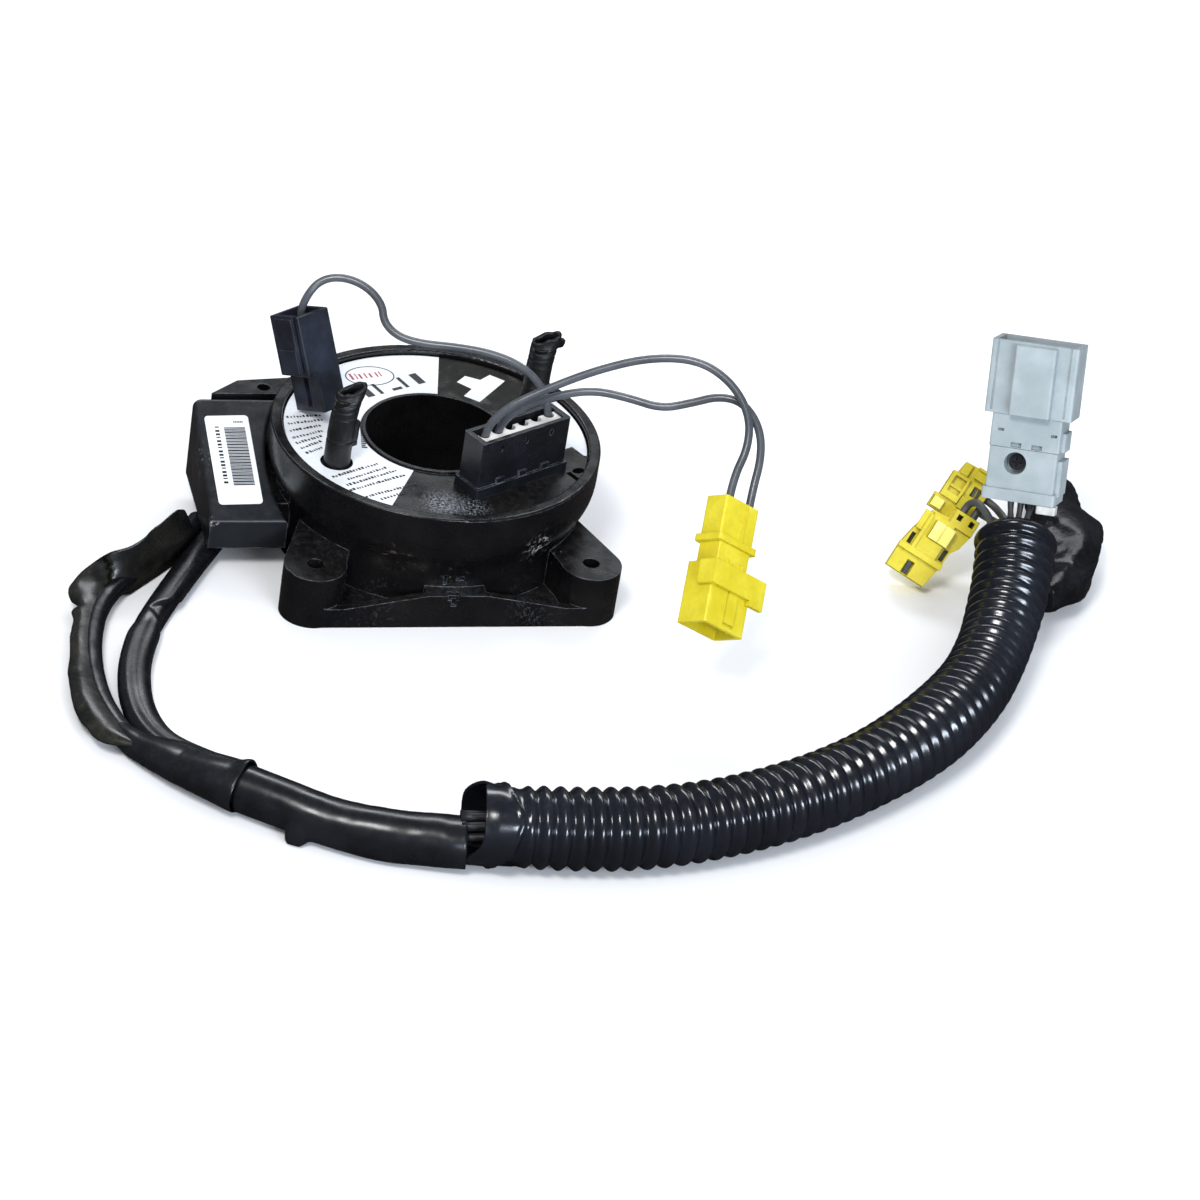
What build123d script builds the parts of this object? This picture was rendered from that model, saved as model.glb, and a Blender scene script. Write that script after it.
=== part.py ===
from build123d import *
import os
from math import cos, radians, sin, tan

# Steering clock spring with its harness, lying on a flat surface, in millimetres.
# Origin: centre of the steering-shaft bore, on the base's mounting plane. +Z runs
# along the shaft towards the wheel, -Y is the side with the front pair of ears.

# ---------------------------------------------------------------- driving sizes
base_plane = 0.0

rim_radius = 50.0
rim_height = 37.0
rim_wall = 3.5
rim_band = 8.0
rim_step = 4.0
drum_wall = 2.5
drum_neck_height = 13.0
shoulder_drop = 5.0

ear_pitch = 83.6
ear_radius = 9.3
ear_height = 16.6
ear_hole = 5.2
ear_arm_lean = 18.3
ear_arm_near = 47.3
ear_arm_far = 19.8

flange_reach = 9.1
flange_wall = 2.4
flange_low = 6.5
flange_high = 11.0
flange_floor = 4.4
apron_width = 18.0

shaft_bore = 42.8
hub_wall = 2.6
running_gap = 0.08
face_gap = 0.3
rotor_turn = 28.0

disc_thickness = 3.0
disc_drop = 1.75
label_thickness = 0.15
lip_height = 0.9
lip_wall = 1.0

peg_shift = 1.5
peg_turn = -2.8
peg_core_radius = 3.0
peg_core_height = 22.0
peg_sleeve_wall = 1.05
peg_sleeve_height = 26.5
peg_sleeve_flare = 0.9
peg_pocket_radius = 4.9
peg_pocket_depth = 1.5

cover_plate = 2.5
cover_recess_wall = 1.5
collar_height = 9.0
collar_wall = 2.2
lower_ring_height = 1.8
lower_ring_reach = 3.4
base_clearance = 0.8

ribbon_height = 18.0
ribbon_thickness = 0.3
ribbon_turns = 5
ribbon_end_gap = 2.22

case_reach = 20.5
case_taper = 0.8
case_front = 20.0
case_back = 24.4
case_bottom = 7.6
case_drop = 4.0
case_low = 17.2
case_wall = 1.4
case_gap = 0.5
tray_height = 15.0
tray_gap = 0.3
neck_overhang = 3.4
fit_gap = 0.25

tab_thickness = 3.0
tab_hole = 4.0

block_end_wall = 1.8
block_width = 9.2
block_height = 18.6
block_gap = 5.2
block_end_gap = 24.4
cavity_radius = 1.45
cavity_count = 6
cavity_pitch = 5.0
comb_depth = 3.2

wire_diameter = 2.4
sleeve_diameter = 7.0
trunk_diameter = 14.0
conduit_diameter = 23.0
conduit_wall = 1.8
bundle_diameter = 11.0


# ---------------------------------------------------------------- helpers
def corner_radii(points, share=0.45):
    """Fillet radius of each corner: a share of the shorter run over tan(half the turn)."""
    spots = [Vector(*point) for point in points]
    radii = []
    for before, corner, after in zip(spots, spots[1:], spots[2:]):
        turn = radians((corner - before).get_angle(after - corner))
        shorter = min((corner - before).length, (after - corner).length)
        radii.append(share * shorter / tan(turn / 2))
    return radii


def cord(name, points, diameter, bore=0.0):
    """A plain tube of straight runs joined by tangent arcs."""
    radii = corner_radii(points)
    with BuildPart() as tube:
        with BuildLine() as route:
            FilletPolyline(*points, radius=radii)
        path = route.wires()[0]
        start = Plane(origin=path @ 0, z_dir=path % 0)
        with BuildSketch(start):
            Circle(diameter / 2)
            if bore:
                Circle(bore / 2, mode=Mode.SUBTRACT)
        sweep()
    section = 3.14159265 / 4 * (diameter**2 - bore**2)
    print(
        name,
        "radii in diameters",
        [round(radius / diameter, 1) for radius in radii],
        "length",
        round(path.length, 1),
        "volume over section times length",
        round(tube.part.volume / (section * path.length), 4),
    )
    return tube.part


def save(piece, name):
    """Label a finished piece and write its STEP file."""
    piece.label = name
    export_step(piece, f"parts/{name}.step")


def ahead(origin, direction, distance):
    """The point a distance along a direction from an origin, as a tuple."""
    return tuple(Vector(*origin) + Vector(*direction).normalized() * distance)


def turned_point(radius, bearing):
    """The point at a radius from the shaft axis, at a bearing in degrees from +X."""
    return (radius * cos(radians(bearing)), radius * sin(radians(bearing)))


os.makedirs("parts", exist_ok=True)

# ---------------------------------------------------------------- stator housing
rim_inner = rim_radius - rim_wall
drum_radius = rim_radius - rim_step
chamber_radius = drum_radius - drum_wall
chamber_top = rim_height - shoulder_drop
chamber_floor = base_clearance + lower_ring_height + face_gap + cover_plate
recess_radius = drum_radius - cover_recess_wall
ear_circle = ear_pitch / 2 * 2**0.5
ear_middle = ear_pitch / 2
ear_inner = chamber_radius + 0.6
flange_face = ear_pitch / 2 + flange_reach
apron_back = drum_radius - 2.0
band_low = rim_height - rim_band
flare_middle = ((drum_radius + rim_radius) / 2, (drum_neck_height + band_low) / 2)

neck_width = 24.0
neck_low = 9.4
neck_high = 18.2
neck_reach = rim_radius + neck_overhang
case_left = rim_radius + case_reach
case_high = rim_height - case_drop
tab_near = 0.66 * rim_radius
neck_wall = 2.0

with BuildPart() as stator_housing:
    # drum: straight below, flaring out to the rim band
    with BuildSketch(Plane.XZ):
        with BuildLine():
            Polyline((0, base_plane), (drum_radius, base_plane), (drum_radius, drum_neck_height))
            TangentArc((drum_radius, drum_neck_height), flare_middle, tangent=(0, 1))
            TangentArc((rim_radius, band_low), flare_middle, tangent=(0, -1))
            Polyline((rim_radius, band_low), (rim_radius, rim_height), (0, rim_height), (0, base_plane))
        make_face()
    revolve(axis=Axis.Z)
    # four ears: a round boss with a broad arm that runs back into the side of the drum
    with BuildSketch(Plane.XY):
        with PolarLocations(ear_circle, 4, start_angle=45):
            Circle(ear_radius)
        Polygon(
            (ear_middle - ear_radius, ear_middle),
            turned_point(ear_inner, ear_arm_near),
            turned_point(ear_inner, ear_arm_far),
            (
                ear_middle + ear_radius * cos(radians(ear_arm_lean)),
                ear_middle - ear_radius * sin(radians(ear_arm_lean)),
            ),
            align=None,
        )
        mirror(about=Plane.YZ)
        mirror(about=Plane.XZ)
    extrude(amount=ear_height)
    # front and back flanges: a floor, an upright wall that is higher at the middle, an apron
    for side in (-1, 1):
        with BuildSketch(Plane.XY):
            with Locations((0, side * (flange_face + drum_radius * 0.6) / 2)):
                Rectangle(ear_pitch, flange_face - drum_radius * 0.6)
        extrude(amount=flange_floor)
        wall_start = side * flange_face
        with BuildSketch(Plane.XZ.offset(-wall_start)):
            Polygon(
                (-ear_pitch / 2, base_plane),
                (ear_pitch / 2, base_plane),
                (ear_pitch / 2, flange_low),
                (ear_pitch / 2 - ear_radius + 1, flange_low),
                (apron_width / 2, flange_high),
                (-apron_width / 2, flange_high),
                (-ear_pitch / 2 + ear_radius - 1, flange_low),
                (-ear_pitch / 2, flange_low),
                align=None,
            )
        extrude(amount=side * flange_wall)
        with BuildSketch(Plane.XY):
            with Locations((0, side * (flange_face + apron_back) / 2)):
                Rectangle(apron_width, flange_face - apron_back)
        extrude(amount=flange_high)
    # mounting tab behind the side case
    with BuildSketch(Plane.XY.offset(case_high + 1 - tab_thickness)):
        Polygon(
            (-case_left + 6.0, case_back + face_gap),
            (-case_left + 15.0, case_back + 7.9),
            (-1.2 * tab_near, case_back + 9.8),
            (-tab_near, 0.73 * rim_radius),
            (-tab_near, 0.58 * rim_radius),
            (-case_left + 26.5, case_back + face_gap),
            align=None,
        )
    extrude(amount=tab_thickness)
    # neck that carries the ribbon out into the side case
    with BuildSketch(Plane.XY.offset(neck_low)):
        with Locations((-(neck_reach + chamber_radius) / 2, 0)):
            Rectangle(neck_reach - chamber_radius, neck_width)
    extrude(amount=neck_high - neck_low)
    # chamber, shoulder for the disc and recess for the bottom cover
    with BuildSketch(Plane.XZ):
        Polygon(
            (0, base_plane),
            (recess_radius, base_plane),
            (recess_radius, chamber_floor),
            (chamber_radius, chamber_floor),
            (chamber_radius, chamber_top),
            (rim_inner, chamber_top),
            (rim_inner, rim_height),
            (0, rim_height),
            align=None,
        )
    revolve(axis=Axis.Z, mode=Mode.SUBTRACT)
    with Locations((-neck_reach + (neck_reach - chamber_radius) / 2, 0, (neck_low + neck_high) / 2)):
        Box(
            neck_reach - chamber_radius + 2,
            neck_width - 2 * neck_wall,
            neck_high - neck_low - 2 * neck_wall,
            mode=Mode.SUBTRACT,
        )
    # ear holes and tab hole
    with PolarLocations(ear_circle, 4, start_angle=45):
        Hole(ear_hole / 2)
    with Locations((-case_left + 22.5, case_back + 4.0, case_high)):
        Cylinder(tab_hole / 2, 4 * tab_thickness, mode=Mode.SUBTRACT)
    # inspection slots over the front apron and the notch in its edge
    slot_depth = 1.1
    slot_row = -drum_radius + slot_depth / 2
    with Locations((-3.2, slot_row, 13.6)):
        Box(0.9, slot_depth, 3.4, mode=Mode.SUBTRACT)
    with Locations((1.2, slot_row, 14.2)):
        Box(2.4, slot_depth, 1.6, mode=Mode.SUBTRACT)
    with Locations((-1.0, -flange_face + 1.2, flange_high - 0.7)):
        Box(3.6, 2.4, 1.4, mode=Mode.SUBTRACT)
    with Locations((-1.0, -flange_face + 0.5, flange_high - 2.2)):
        Box(1.4, 1.0, 2.6, mode=Mode.SUBTRACT)
    # softened edges of the rim and the ears
    fillet(
        stator_housing.edges().filter_by(GeomType.CIRCLE).filter_by_position(
            Axis.Z, rim_height - 0.01, rim_height + 0.01
        ),
        radius=0.6,
    )

save(stator_housing.part, "stator_housing")

# ---------------------------------------------------------------- bottom cover and collar
hub_inner = shaft_bore / 2
hub_outer = hub_inner + hub_wall
collar_inner = hub_outer + running_gap

with BuildPart() as bottom_cover:
    with BuildSketch(Plane.XY.offset(chamber_floor - cover_plate)):
        Circle(recess_radius - running_gap)
        Circle(collar_inner, mode=Mode.SUBTRACT)
    extrude(amount=cover_plate)
    with BuildSketch(Plane.XY.offset(chamber_floor)):
        Circle(collar_inner + collar_wall)
        Circle(collar_inner, mode=Mode.SUBTRACT)
    extrude(amount=collar_height)

save(bottom_cover.part, "bottom_cover")

# ---------------------------------------------------------------- rotor
rotor_frame = Plane(
    origin=(0, 0, 0), x_dir=(cos(radians(rotor_turn)), sin(radians(rotor_turn)), 0), z_dir=(0, 0, 1)
)
disc_top = rim_height - disc_drop
disc_bottom = disc_top - disc_thickness
disc_radius = rim_inner - face_gap
hub_bottom = base_clearance + lower_ring_height
peg_circle = (hub_outer + disc_radius) / 2 + peg_shift
block_length = cavity_count * cavity_pitch + 2 * block_end_wall
block_shift = disc_radius - block_end_gap - block_length / 2
block_offset = hub_outer + block_gap
block_centre = (block_shift, -block_offset)
block_base = disc_top
block_top = block_base + block_height
block_foot = 3.4
block_foot_step = 0.8

with BuildPart(rotor_frame) as rotor_disc:
    # disc and the tube that the steering shaft passes through
    with BuildSketch(rotor_frame.offset(disc_bottom)):
        Circle(disc_radius)
    extrude(amount=disc_thickness)
    with BuildSketch(rotor_frame.offset(hub_bottom)):
        Circle(hub_outer)
    extrude(amount=disc_bottom - hub_bottom)
    with BuildSketch(rotor_frame.offset(disc_top)):
        Circle(hub_inner + lip_wall)
    extrude(amount=lip_height)
    with BuildSketch(rotor_frame.offset(hub_bottom)):
        Circle(hub_inner)
    extrude(amount=rim_height, mode=Mode.SUBTRACT)
    # drive pegs stand in shallow pockets
    with BuildSketch(rotor_frame.offset(disc_top)):
        with PolarLocations(peg_circle, 2, start_angle=peg_turn):
            Circle(peg_pocket_radius)
    extrude(amount=-peg_pocket_depth, mode=Mode.SUBTRACT)
    with BuildSketch(rotor_frame.offset(disc_top - peg_pocket_depth)):
        with PolarLocations(peg_circle, 2, start_angle=peg_turn):
            Circle(peg_core_radius)
    extrude(amount=peg_pocket_depth + peg_core_height)
    # small round and oval windows near the edge, and a step beside the connector
    with BuildSketch(rotor_frame.offset(disc_top)):
        with Locations((26.0, -36.3)):
            Ellipse(2.1, 1.4)
        with Locations((-22.9, -38.2)):
            Circle(1.1)
        with Locations((22.5, -39.5)):
            Rectangle(1.6, 8.0)
    extrude(amount=-2 * disc_thickness, mode=Mode.SUBTRACT)

save(rotor_disc.part, "rotor_disc")

with BuildPart() as lower_rotor:
    # ring that snaps on the tube's end and keeps the rotor in the cover
    with BuildSketch(Plane.XY.offset(base_clearance)):
        Circle(hub_outer + lower_ring_reach)
        Circle(hub_inner, mode=Mode.SUBTRACT)
    extrude(amount=lower_ring_height)
    # two cams that cancel the turn signal
    with BuildSketch(Plane.XY.offset(base_clearance)):
        with PolarLocations(hub_outer + lower_ring_reach, 2, start_angle=rotor_turn):
            RectangleRounded(5.0, 9.0, 1.2)
        Circle(hub_outer, mode=Mode.SUBTRACT)
    extrude(amount=lower_ring_height)

save(lower_rotor.part, "lower_rotor")

# ---------------------------------------------------------------- ring label
label_inner = hub_inner + lip_wall + 0.6
label_outer = disc_radius - 0.3
bare_top = block_offset - 4.2
bare_right = block_shift + block_length / 2 + 11.2
bare_reach = 1.8 * disc_radius
bare_ends = [(bare_reach * cos(radians(turn)), bare_reach * sin(radians(turn))) for turn in (214.3, 256.0)]

with BuildPart(rotor_frame) as top_label:
    with BuildSketch(rotor_frame.offset(disc_top)):
        Circle(label_outer)
        Circle(label_inner, mode=Mode.SUBTRACT)
        with PolarLocations(peg_circle, 2, start_angle=peg_turn):
            Circle(peg_pocket_radius, mode=Mode.SUBTRACT)
        with Locations(block_centre):
            Rectangle(block_length + 2.4, block_width + 2.4, mode=Mode.SUBTRACT)
        # the film is cut away below the connector and to its left, where the disc is bare
        with Locations(((bare_right - disc_radius) / 2, -(bare_top + disc_radius) / 2)):
            Rectangle(bare_right + disc_radius, disc_radius - bare_top, mode=Mode.SUBTRACT)
        with BuildLine():
            Polyline((0, 0), bare_ends[0], bare_ends[1], (0, 0))
        make_face(mode=Mode.SUBTRACT)
    extrude(amount=label_thickness)

save(top_label.part, "top_label")

# ---------------------------------------------------------------- peg sleeves
sleeve_low = disc_top - peg_pocket_depth + face_gap
peg_sleeve_radius = peg_core_radius + running_gap + peg_sleeve_wall
peg_sleeve_length = peg_sleeve_height + peg_pocket_depth

for half_turn, name in ((180, "peg_sleeve_front"), (0, "peg_sleeve_rear")):
    peg_spot = (
        peg_circle * cos(radians(peg_turn + half_turn)),
        peg_circle * sin(radians(peg_turn + half_turn)),
    )
    with BuildPart(rotor_frame) as peg_sleeve:
        # heat-shrunk tape, wider and slanted at its mouth, standing a little past the peg
        with BuildSketch(rotor_frame.offset(sleeve_low)):
            with Locations(peg_spot):
                Circle(peg_sleeve_radius)
        with BuildSketch(rotor_frame.offset(sleeve_low + peg_sleeve_length)):
            with Locations(peg_spot):
                Circle(peg_sleeve_radius + peg_sleeve_flare)
        loft()
        with BuildSketch(rotor_frame.offset(sleeve_low)):
            with Locations(peg_spot):
                Circle(peg_core_radius + running_gap)
        extrude(amount=peg_sleeve_length, mode=Mode.SUBTRACT)
        slant = Plane(
            origin=rotor_frame.from_local_coords((*peg_spot, disc_top + peg_sleeve_height - 1.6)),
            z_dir=(0.28, -0.22, 1),
        )
        split(bisect_by=slant, keep=Keep.BOTTOM)
    save(peg_sleeve.part, name)

# ---------------------------------------------------------------- rotor connector
comb_length = block_length - 3.4
comb_width = 4.6
pocket_length = comb_length + 2 * running_gap
pocket_width = block_width - 2.6
pocket_depth = 4.0
peep_hole_drop = 3.2
first_cavity = -cavity_pitch * (cavity_count - 1) / 2
cavity_row = 0.7

with BuildPart(rotor_frame) as rotor_connector:
    with BuildSketch(rotor_frame.offset(block_base)):
        with Locations(block_centre):
            Rectangle(block_length, block_width)
    extrude(amount=block_height)
    fillet(rotor_connector.edges().filter_by(Axis.Z), radius=0.5)
    with BuildSketch(rotor_frame.offset(block_base)):
        with Locations(block_centre):
            RectangleRounded(block_length + 2 * block_foot_step, block_width + 2 * block_foot_step, 0.6)
    extrude(amount=block_foot)
    with BuildSketch(rotor_frame.offset(block_base + block_foot)):
        with Locations((block_centre[0], block_centre[1] - block_width / 2)):
            with GridLocations(8.6, 0, 3, 1):
                Rectangle(3.0, 1.0)
    extrude(amount=1.8)
    with BuildSketch(rotor_frame.offset(block_top)):
        with Locations(block_centre):
            Rectangle(pocket_length, pocket_width)
    extrude(amount=-pocket_depth, mode=Mode.SUBTRACT)
    with BuildSketch(rotor_frame.offset(block_top - pocket_depth)):
        with Locations((block_centre[0], block_centre[1] + cavity_row)):
            with GridLocations(cavity_pitch, 0, cavity_count, 1):
                Circle(cavity_radius)
    extrude(amount=-8.0, mode=Mode.SUBTRACT)
    # three oval peep holes on the front face
    front_face = Plane(
        origin=rotor_frame.from_local_coords(
            (block_centre[0], block_centre[1] - block_width / 2, block_top - peep_hole_drop)
        ),
        x_dir=rotor_frame.x_dir,
        z_dir=-rotor_frame.y_dir,
    )
    with BuildSketch(front_face):
        with GridLocations(9.6, 0, 3, 1):
            Ellipse(0.7, 1.1)
    extrude(amount=-0.9, mode=Mode.SUBTRACT)

save(rotor_connector.part, "rotor_connector")

with BuildPart(rotor_frame) as terminal_retainer:
    # white comb that locks the terminals in the connector
    comb_row = block_centre[1] - pocket_width / 2 + comb_width / 2 + running_gap
    with BuildSketch(rotor_frame.offset(block_top - pocket_depth)):
        with Locations((block_centre[0], comb_row)):
            Rectangle(comb_length, comb_width)
        with Locations((block_centre[0], block_centre[1] + cavity_row)):
            with GridLocations(cavity_pitch, 0, cavity_count, 1):
                Circle(cavity_radius + 0.2, mode=Mode.SUBTRACT)
        with Locations((block_centre[0], comb_row + comb_width / 2)):
            with GridLocations(cavity_pitch, 0, cavity_count, 1):
                Rectangle(2.4, 2.2, mode=Mode.SUBTRACT)
    extrude(amount=comb_depth)

save(terminal_retainer.part, "terminal_retainer")

with BuildPart(rotor_frame) as rotor_terminals:
    # crimped terminals at the bottom of the cavities
    with BuildSketch(rotor_frame.offset(block_top - pocket_depth - 8.0)):
        with Locations((block_centre[0], block_centre[1] + cavity_row)):
            with GridLocations(cavity_pitch, 0, cavity_count, 1):
                Rectangle(1.3, 1.0)
    extrude(amount=6.0)

save(rotor_terminals.part, "rotor_terminals")


def cavity_mouth(index, height):
    """A point over one of the connector's cavities, in world coordinates."""
    across = block_centre[0] + first_cavity + cavity_pitch * index
    return tuple(rotor_frame.from_local_coords((across, block_centre[1] + cavity_row, height)))


wire_floor = block_top - pocket_depth - 1.2

# ---------------------------------------------------------------- ribbon cable
ribbon_inner = collar_inner + collar_wall + 2.0
ribbon_pitch = (chamber_radius - ribbon_inner - ribbon_end_gap) / ribbon_turns
ribbon_bottom = chamber_floor + 0.2
turn_steps = 24


def coil_points(start):
    """Points of a spiral that grows by one pitch a turn, from a starting radius."""
    points = []
    for step in range(ribbon_turns * turn_steps + 1):
        reach = start + ribbon_pitch * step / turn_steps
        swing = radians(360 * step / turn_steps)
        points.append((reach * cos(swing), reach * sin(swing)))
    return points


with BuildPart() as ribbon_cable:
    # flat cable wound in a loose spiral between the tube and the drum
    with BuildSketch(Plane.XY.offset(ribbon_bottom)):
        with BuildLine():
            inner_points = coil_points(ribbon_inner)
            outer_points = coil_points(ribbon_inner + ribbon_thickness)
            Spline(*inner_points)
            Spline(*outer_points)
            Line(inner_points[0], outer_points[0])
            Line(inner_points[-1], outer_points[-1])
        make_face()
    extrude(amount=ribbon_height)

save(ribbon_cable.part, "ribbon_cable")

# ---------------------------------------------------------------- side case: tray, cover, label
slope_angle_run = case_back + case_front
slope_plane = Plane(
    origin=(0, case_back, case_high), z_dir=(0, -(case_high - case_low), slope_angle_run)
)
case_arc = rim_radius + case_gap


def case_outline(inset):
    """Plan of the side case: three straight sides and one that follows the rim."""
    arc = case_arc + inset
    back = case_back - inset
    front = case_front - inset
    back_end = (-((arc**2 - back**2) ** 0.5), back)
    front_end = (-((arc**2 - front**2) ** 0.5), -front)
    left = case_left - inset
    with BuildSketch() as outline:
        with BuildLine():
            Polyline(back_end, (-left, back), (-left + case_taper, -front), front_end)
            ThreePointArc(front_end, (-arc, 0), back_end)
        make_face()
    return outline.sketch


with BuildPart() as cover_cavity:
    extrude(Pos(0, 0, case_bottom - 1) * case_outline(case_wall), amount=60)
    split(bisect_by=slope_plane.offset(-case_wall), keep=Keep.BOTTOM)

with BuildPart() as side_cover:
    extrude(Pos(0, 0, case_bottom) * case_outline(0), amount=60)
    split(bisect_by=slope_plane, keep=Keep.BOTTOM)
    fillet(side_cover.edges().filter_by(Axis.Z).group_by(Axis.X)[0], radius=3.0)
    fillet(side_cover.faces().sort_by(Axis.Z)[-1].edges(), radius=1.2)
    add(cover_cavity.part, mode=Mode.SUBTRACT)
    # the neck from the drum comes in through the side that faces the rim
    with Locations((-case_arc, 0, (case_bottom + neck_high + face_gap) / 2)):
        Box(8.0, neck_width + 2 * face_gap, neck_high + face_gap - case_bottom, mode=Mode.SUBTRACT)

save(side_cover.part, "side_cover")

outlet_left = case_left - 2.5
outlet_right = case_left - 15.5
outlet_front = -2.0
outlet_back = 12.0
outlet_bottom = 0.4
tray_floor_thickness = 1.6
tray_left = case_left - case_taper - case_wall - fit_gap
tray_right = neck_reach + tray_gap
terminal_row = case_back - 7.9
tray_back = case_back - case_wall - fit_gap
tray_front = case_front - case_wall - fit_gap

with BuildPart() as side_case:
    # open tray under the cover, with the outlet that the two sleeves leave by
    with BuildSketch(Plane.XY.offset(case_bottom)):
        with Locations((-(tray_left + tray_right) / 2, (tray_back - tray_front) / 2)):
            RectangleRounded(tray_left - tray_right, tray_back + tray_front, 1.4)
    extrude(amount=tray_height - case_bottom + 1.0)
    with BuildSketch(Plane.XY.offset(case_bottom + tray_floor_thickness)):
        with Locations((-(tray_left + tray_right) / 2, (tray_back - tray_front) / 2)):
            Rectangle(tray_left - tray_right - 2 * case_wall, tray_back + tray_front - 2 * case_wall)
    extrude(amount=tray_height, mode=Mode.SUBTRACT)
    with Locations((-tray_right, 0, case_bottom + tray_floor_thickness + tray_height / 2)):
        Box(2 * case_wall + 0.4, neck_width - 2 * neck_wall, tray_height, mode=Mode.SUBTRACT)
    with BuildSketch(Plane.XY.offset(outlet_bottom)):
        with Locations((-(outlet_left + outlet_right) / 2, (outlet_front + outlet_back) / 2)):
            RectangleRounded(outlet_left - outlet_right, outlet_back - outlet_front, 1.5)
    extrude(amount=case_bottom - outlet_bottom)
    # cable way through the floor into the outlet
    with Locations((-(outlet_left + outlet_right) / 2, (outlet_front + outlet_back) / 2, case_bottom)):
        Box(10.0, 9.0, 2 * tray_floor_thickness + 1.6, mode=Mode.SUBTRACT)

save(side_case.part, "side_case")

with BuildPart() as case_terminals:
    # terminal block where the ribbon is joined to the harness wires
    terminal_block_z = case_bottom + tray_floor_thickness
    with BuildSketch(Plane.XY.offset(terminal_block_z)):
        with Locations((-(tray_left + tray_right) / 2, terminal_row)):
            Rectangle(tray_left - tray_right - 2 * case_wall - 0.6, 8.0)
    extrude(amount=4.6)
    with BuildSketch(Plane.XY.offset(terminal_block_z + 4.6)):
        with Locations((-(tray_left + tray_right) / 2, terminal_row)):
            with GridLocations(2.2, 0, 5, 1):
                Rectangle(1.2, 6.0)
    extrude(amount=0.9)

save(case_terminals.part, "case_terminals")

label_width = 13.3
label_length = 33.5
label_corner = 1.2
label_column = case_left - 10.1
label_row = 1.6

with BuildPart() as side_label:
    # paper label on the cover's slope
    with BuildSketch(
        Plane(origin=(-label_column, label_row, 0), x_dir=(1, 0.03, 0.01), z_dir=slope_plane.z_dir)
    ) as label_sheet:
        RectangleRounded(label_width, label_length, label_corner)
    lift = Vector(0, 0, case_high - (case_back - label_row) * (case_high - case_low) / slope_angle_run)
    extrude(Pos(lift) * label_sheet.sketch, amount=label_thickness)

save(side_label.part, "side_label")

# ---------------------------------------------------------------- horn lead plug
horn_frame = Plane(origin=(-40.5, 12.6, disc_top + 0.35), x_dir=(0.457, -0.787, 0.414), z_dir=(-0.24, 0.339, 0.91))
horn_width = 13.4
horn_nose_depth = 9.0
horn_body_depth = 12.0
horn_nose_height = 12.5
horn_height = 30.5
horn_wall = 1.7

with BuildPart(horn_frame) as horn_plug:
    # nose on the disc, larger body above it, mouth for the wire on top
    with BuildSketch(horn_frame):
        with Locations((horn_width / 2, horn_nose_depth / 2)):
            Rectangle(horn_width, horn_nose_depth)
    extrude(amount=horn_nose_height)
    with BuildSketch(horn_frame.offset(horn_nose_height - 0.6)):
        with Locations((horn_width / 2, horn_nose_depth - horn_body_depth / 2)):
            Rectangle(horn_width, horn_body_depth)
    extrude(amount=horn_height - horn_nose_height + 0.6)
    fillet(horn_plug.edges(), radius=0.45)
    # raised panel with its ledge on the outer face
    with BuildSketch(horn_frame.offset(horn_nose_height + 0.6)):
        with Locations((horn_width * 0.47, horn_nose_depth - horn_body_depth - 0.25)):
            Rectangle(horn_width * 0.58, 1.1)
    extrude(amount=7.0)
    with BuildSketch(horn_frame.offset(horn_nose_height + 7.6)):
        with Locations((horn_width * 0.47, horn_nose_depth - horn_body_depth - 0.05)):
            Rectangle(horn_width * 0.58, 0.7)
    extrude(amount=horn_height - horn_nose_height - 8.4)
    with BuildSketch(horn_frame.offset(horn_nose_height + 0.8)):
        with Locations((horn_width * 0.86, horn_nose_depth - horn_body_depth)):
            Rectangle(1.3, 2.0)
    extrude(amount=horn_height, mode=Mode.SUBTRACT)
    # slot down the nose
    with BuildSketch(horn_frame.offset(1.6)):
        with Locations((horn_width * 0.55, 0)):
            Rectangle(2.1, 4.4)
    extrude(amount=horn_nose_height - 2.6, mode=Mode.SUBTRACT)
    # wire mouth and terminal way
    with BuildSketch(horn_frame.offset(horn_height - 6.0)):
        with Locations((horn_width / 2, horn_nose_depth - horn_body_depth / 2)):
            Rectangle(horn_width - 2 * horn_wall, horn_body_depth - 2 * horn_wall)
    extrude(amount=8.0, mode=Mode.SUBTRACT)
    with BuildSketch(horn_frame.offset(horn_height - 14.0)):
        with Locations((horn_width / 2, horn_nose_depth - horn_body_depth / 2)):
            Rectangle(6.0, 3.4)
    extrude(amount=9.0, mode=Mode.SUBTRACT)

save(horn_plug.part, "horn_plug")

with BuildPart(horn_frame) as horn_terminal:
    # flat terminal crimped on the wire's end
    with BuildSketch(horn_frame.offset(horn_height - 13.8)):
        with Locations((horn_width / 2, horn_nose_depth - horn_body_depth / 2)):
            Rectangle(5.2, 1.2)
    extrude(amount=6.0)

save(horn_terminal.part, "horn_terminal")

horn_mouth = tuple(
    horn_frame.from_local_coords(
        (horn_width / 2, horn_nose_depth - horn_body_depth / 2, horn_height - 7.7)
    )
)
horn_wire_route = [
    horn_mouth,
    ahead(horn_mouth, horn_frame.z_dir, 6.6),
    (-40.2, 19.6, 71.4),
    (-36.2, 21.4, 75.8),
    (-29.9, 20.6, 77.5),
    (-23.2, 17.2, 76.5),
    (-18.6, 13.0, 72.8),
    (-18.2, 9.6, 68.4),
    (-14.2, 6.0, 65.6),
    (-7.4, 2.8, 65.2),
    (1.6, -0.4, 66.2),
    (10.6, -3.9, 66.6),
    (18.6, -7.8, 65.6),
    (24.8, -11.8, 62.6),
    ahead(cavity_mouth(5, wire_floor), (0, 0, 1), 8.0),
    cavity_mouth(5, wire_floor),
]
save(cord("horn_wire", horn_wire_route, wire_diameter), "horn_wire")

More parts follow.
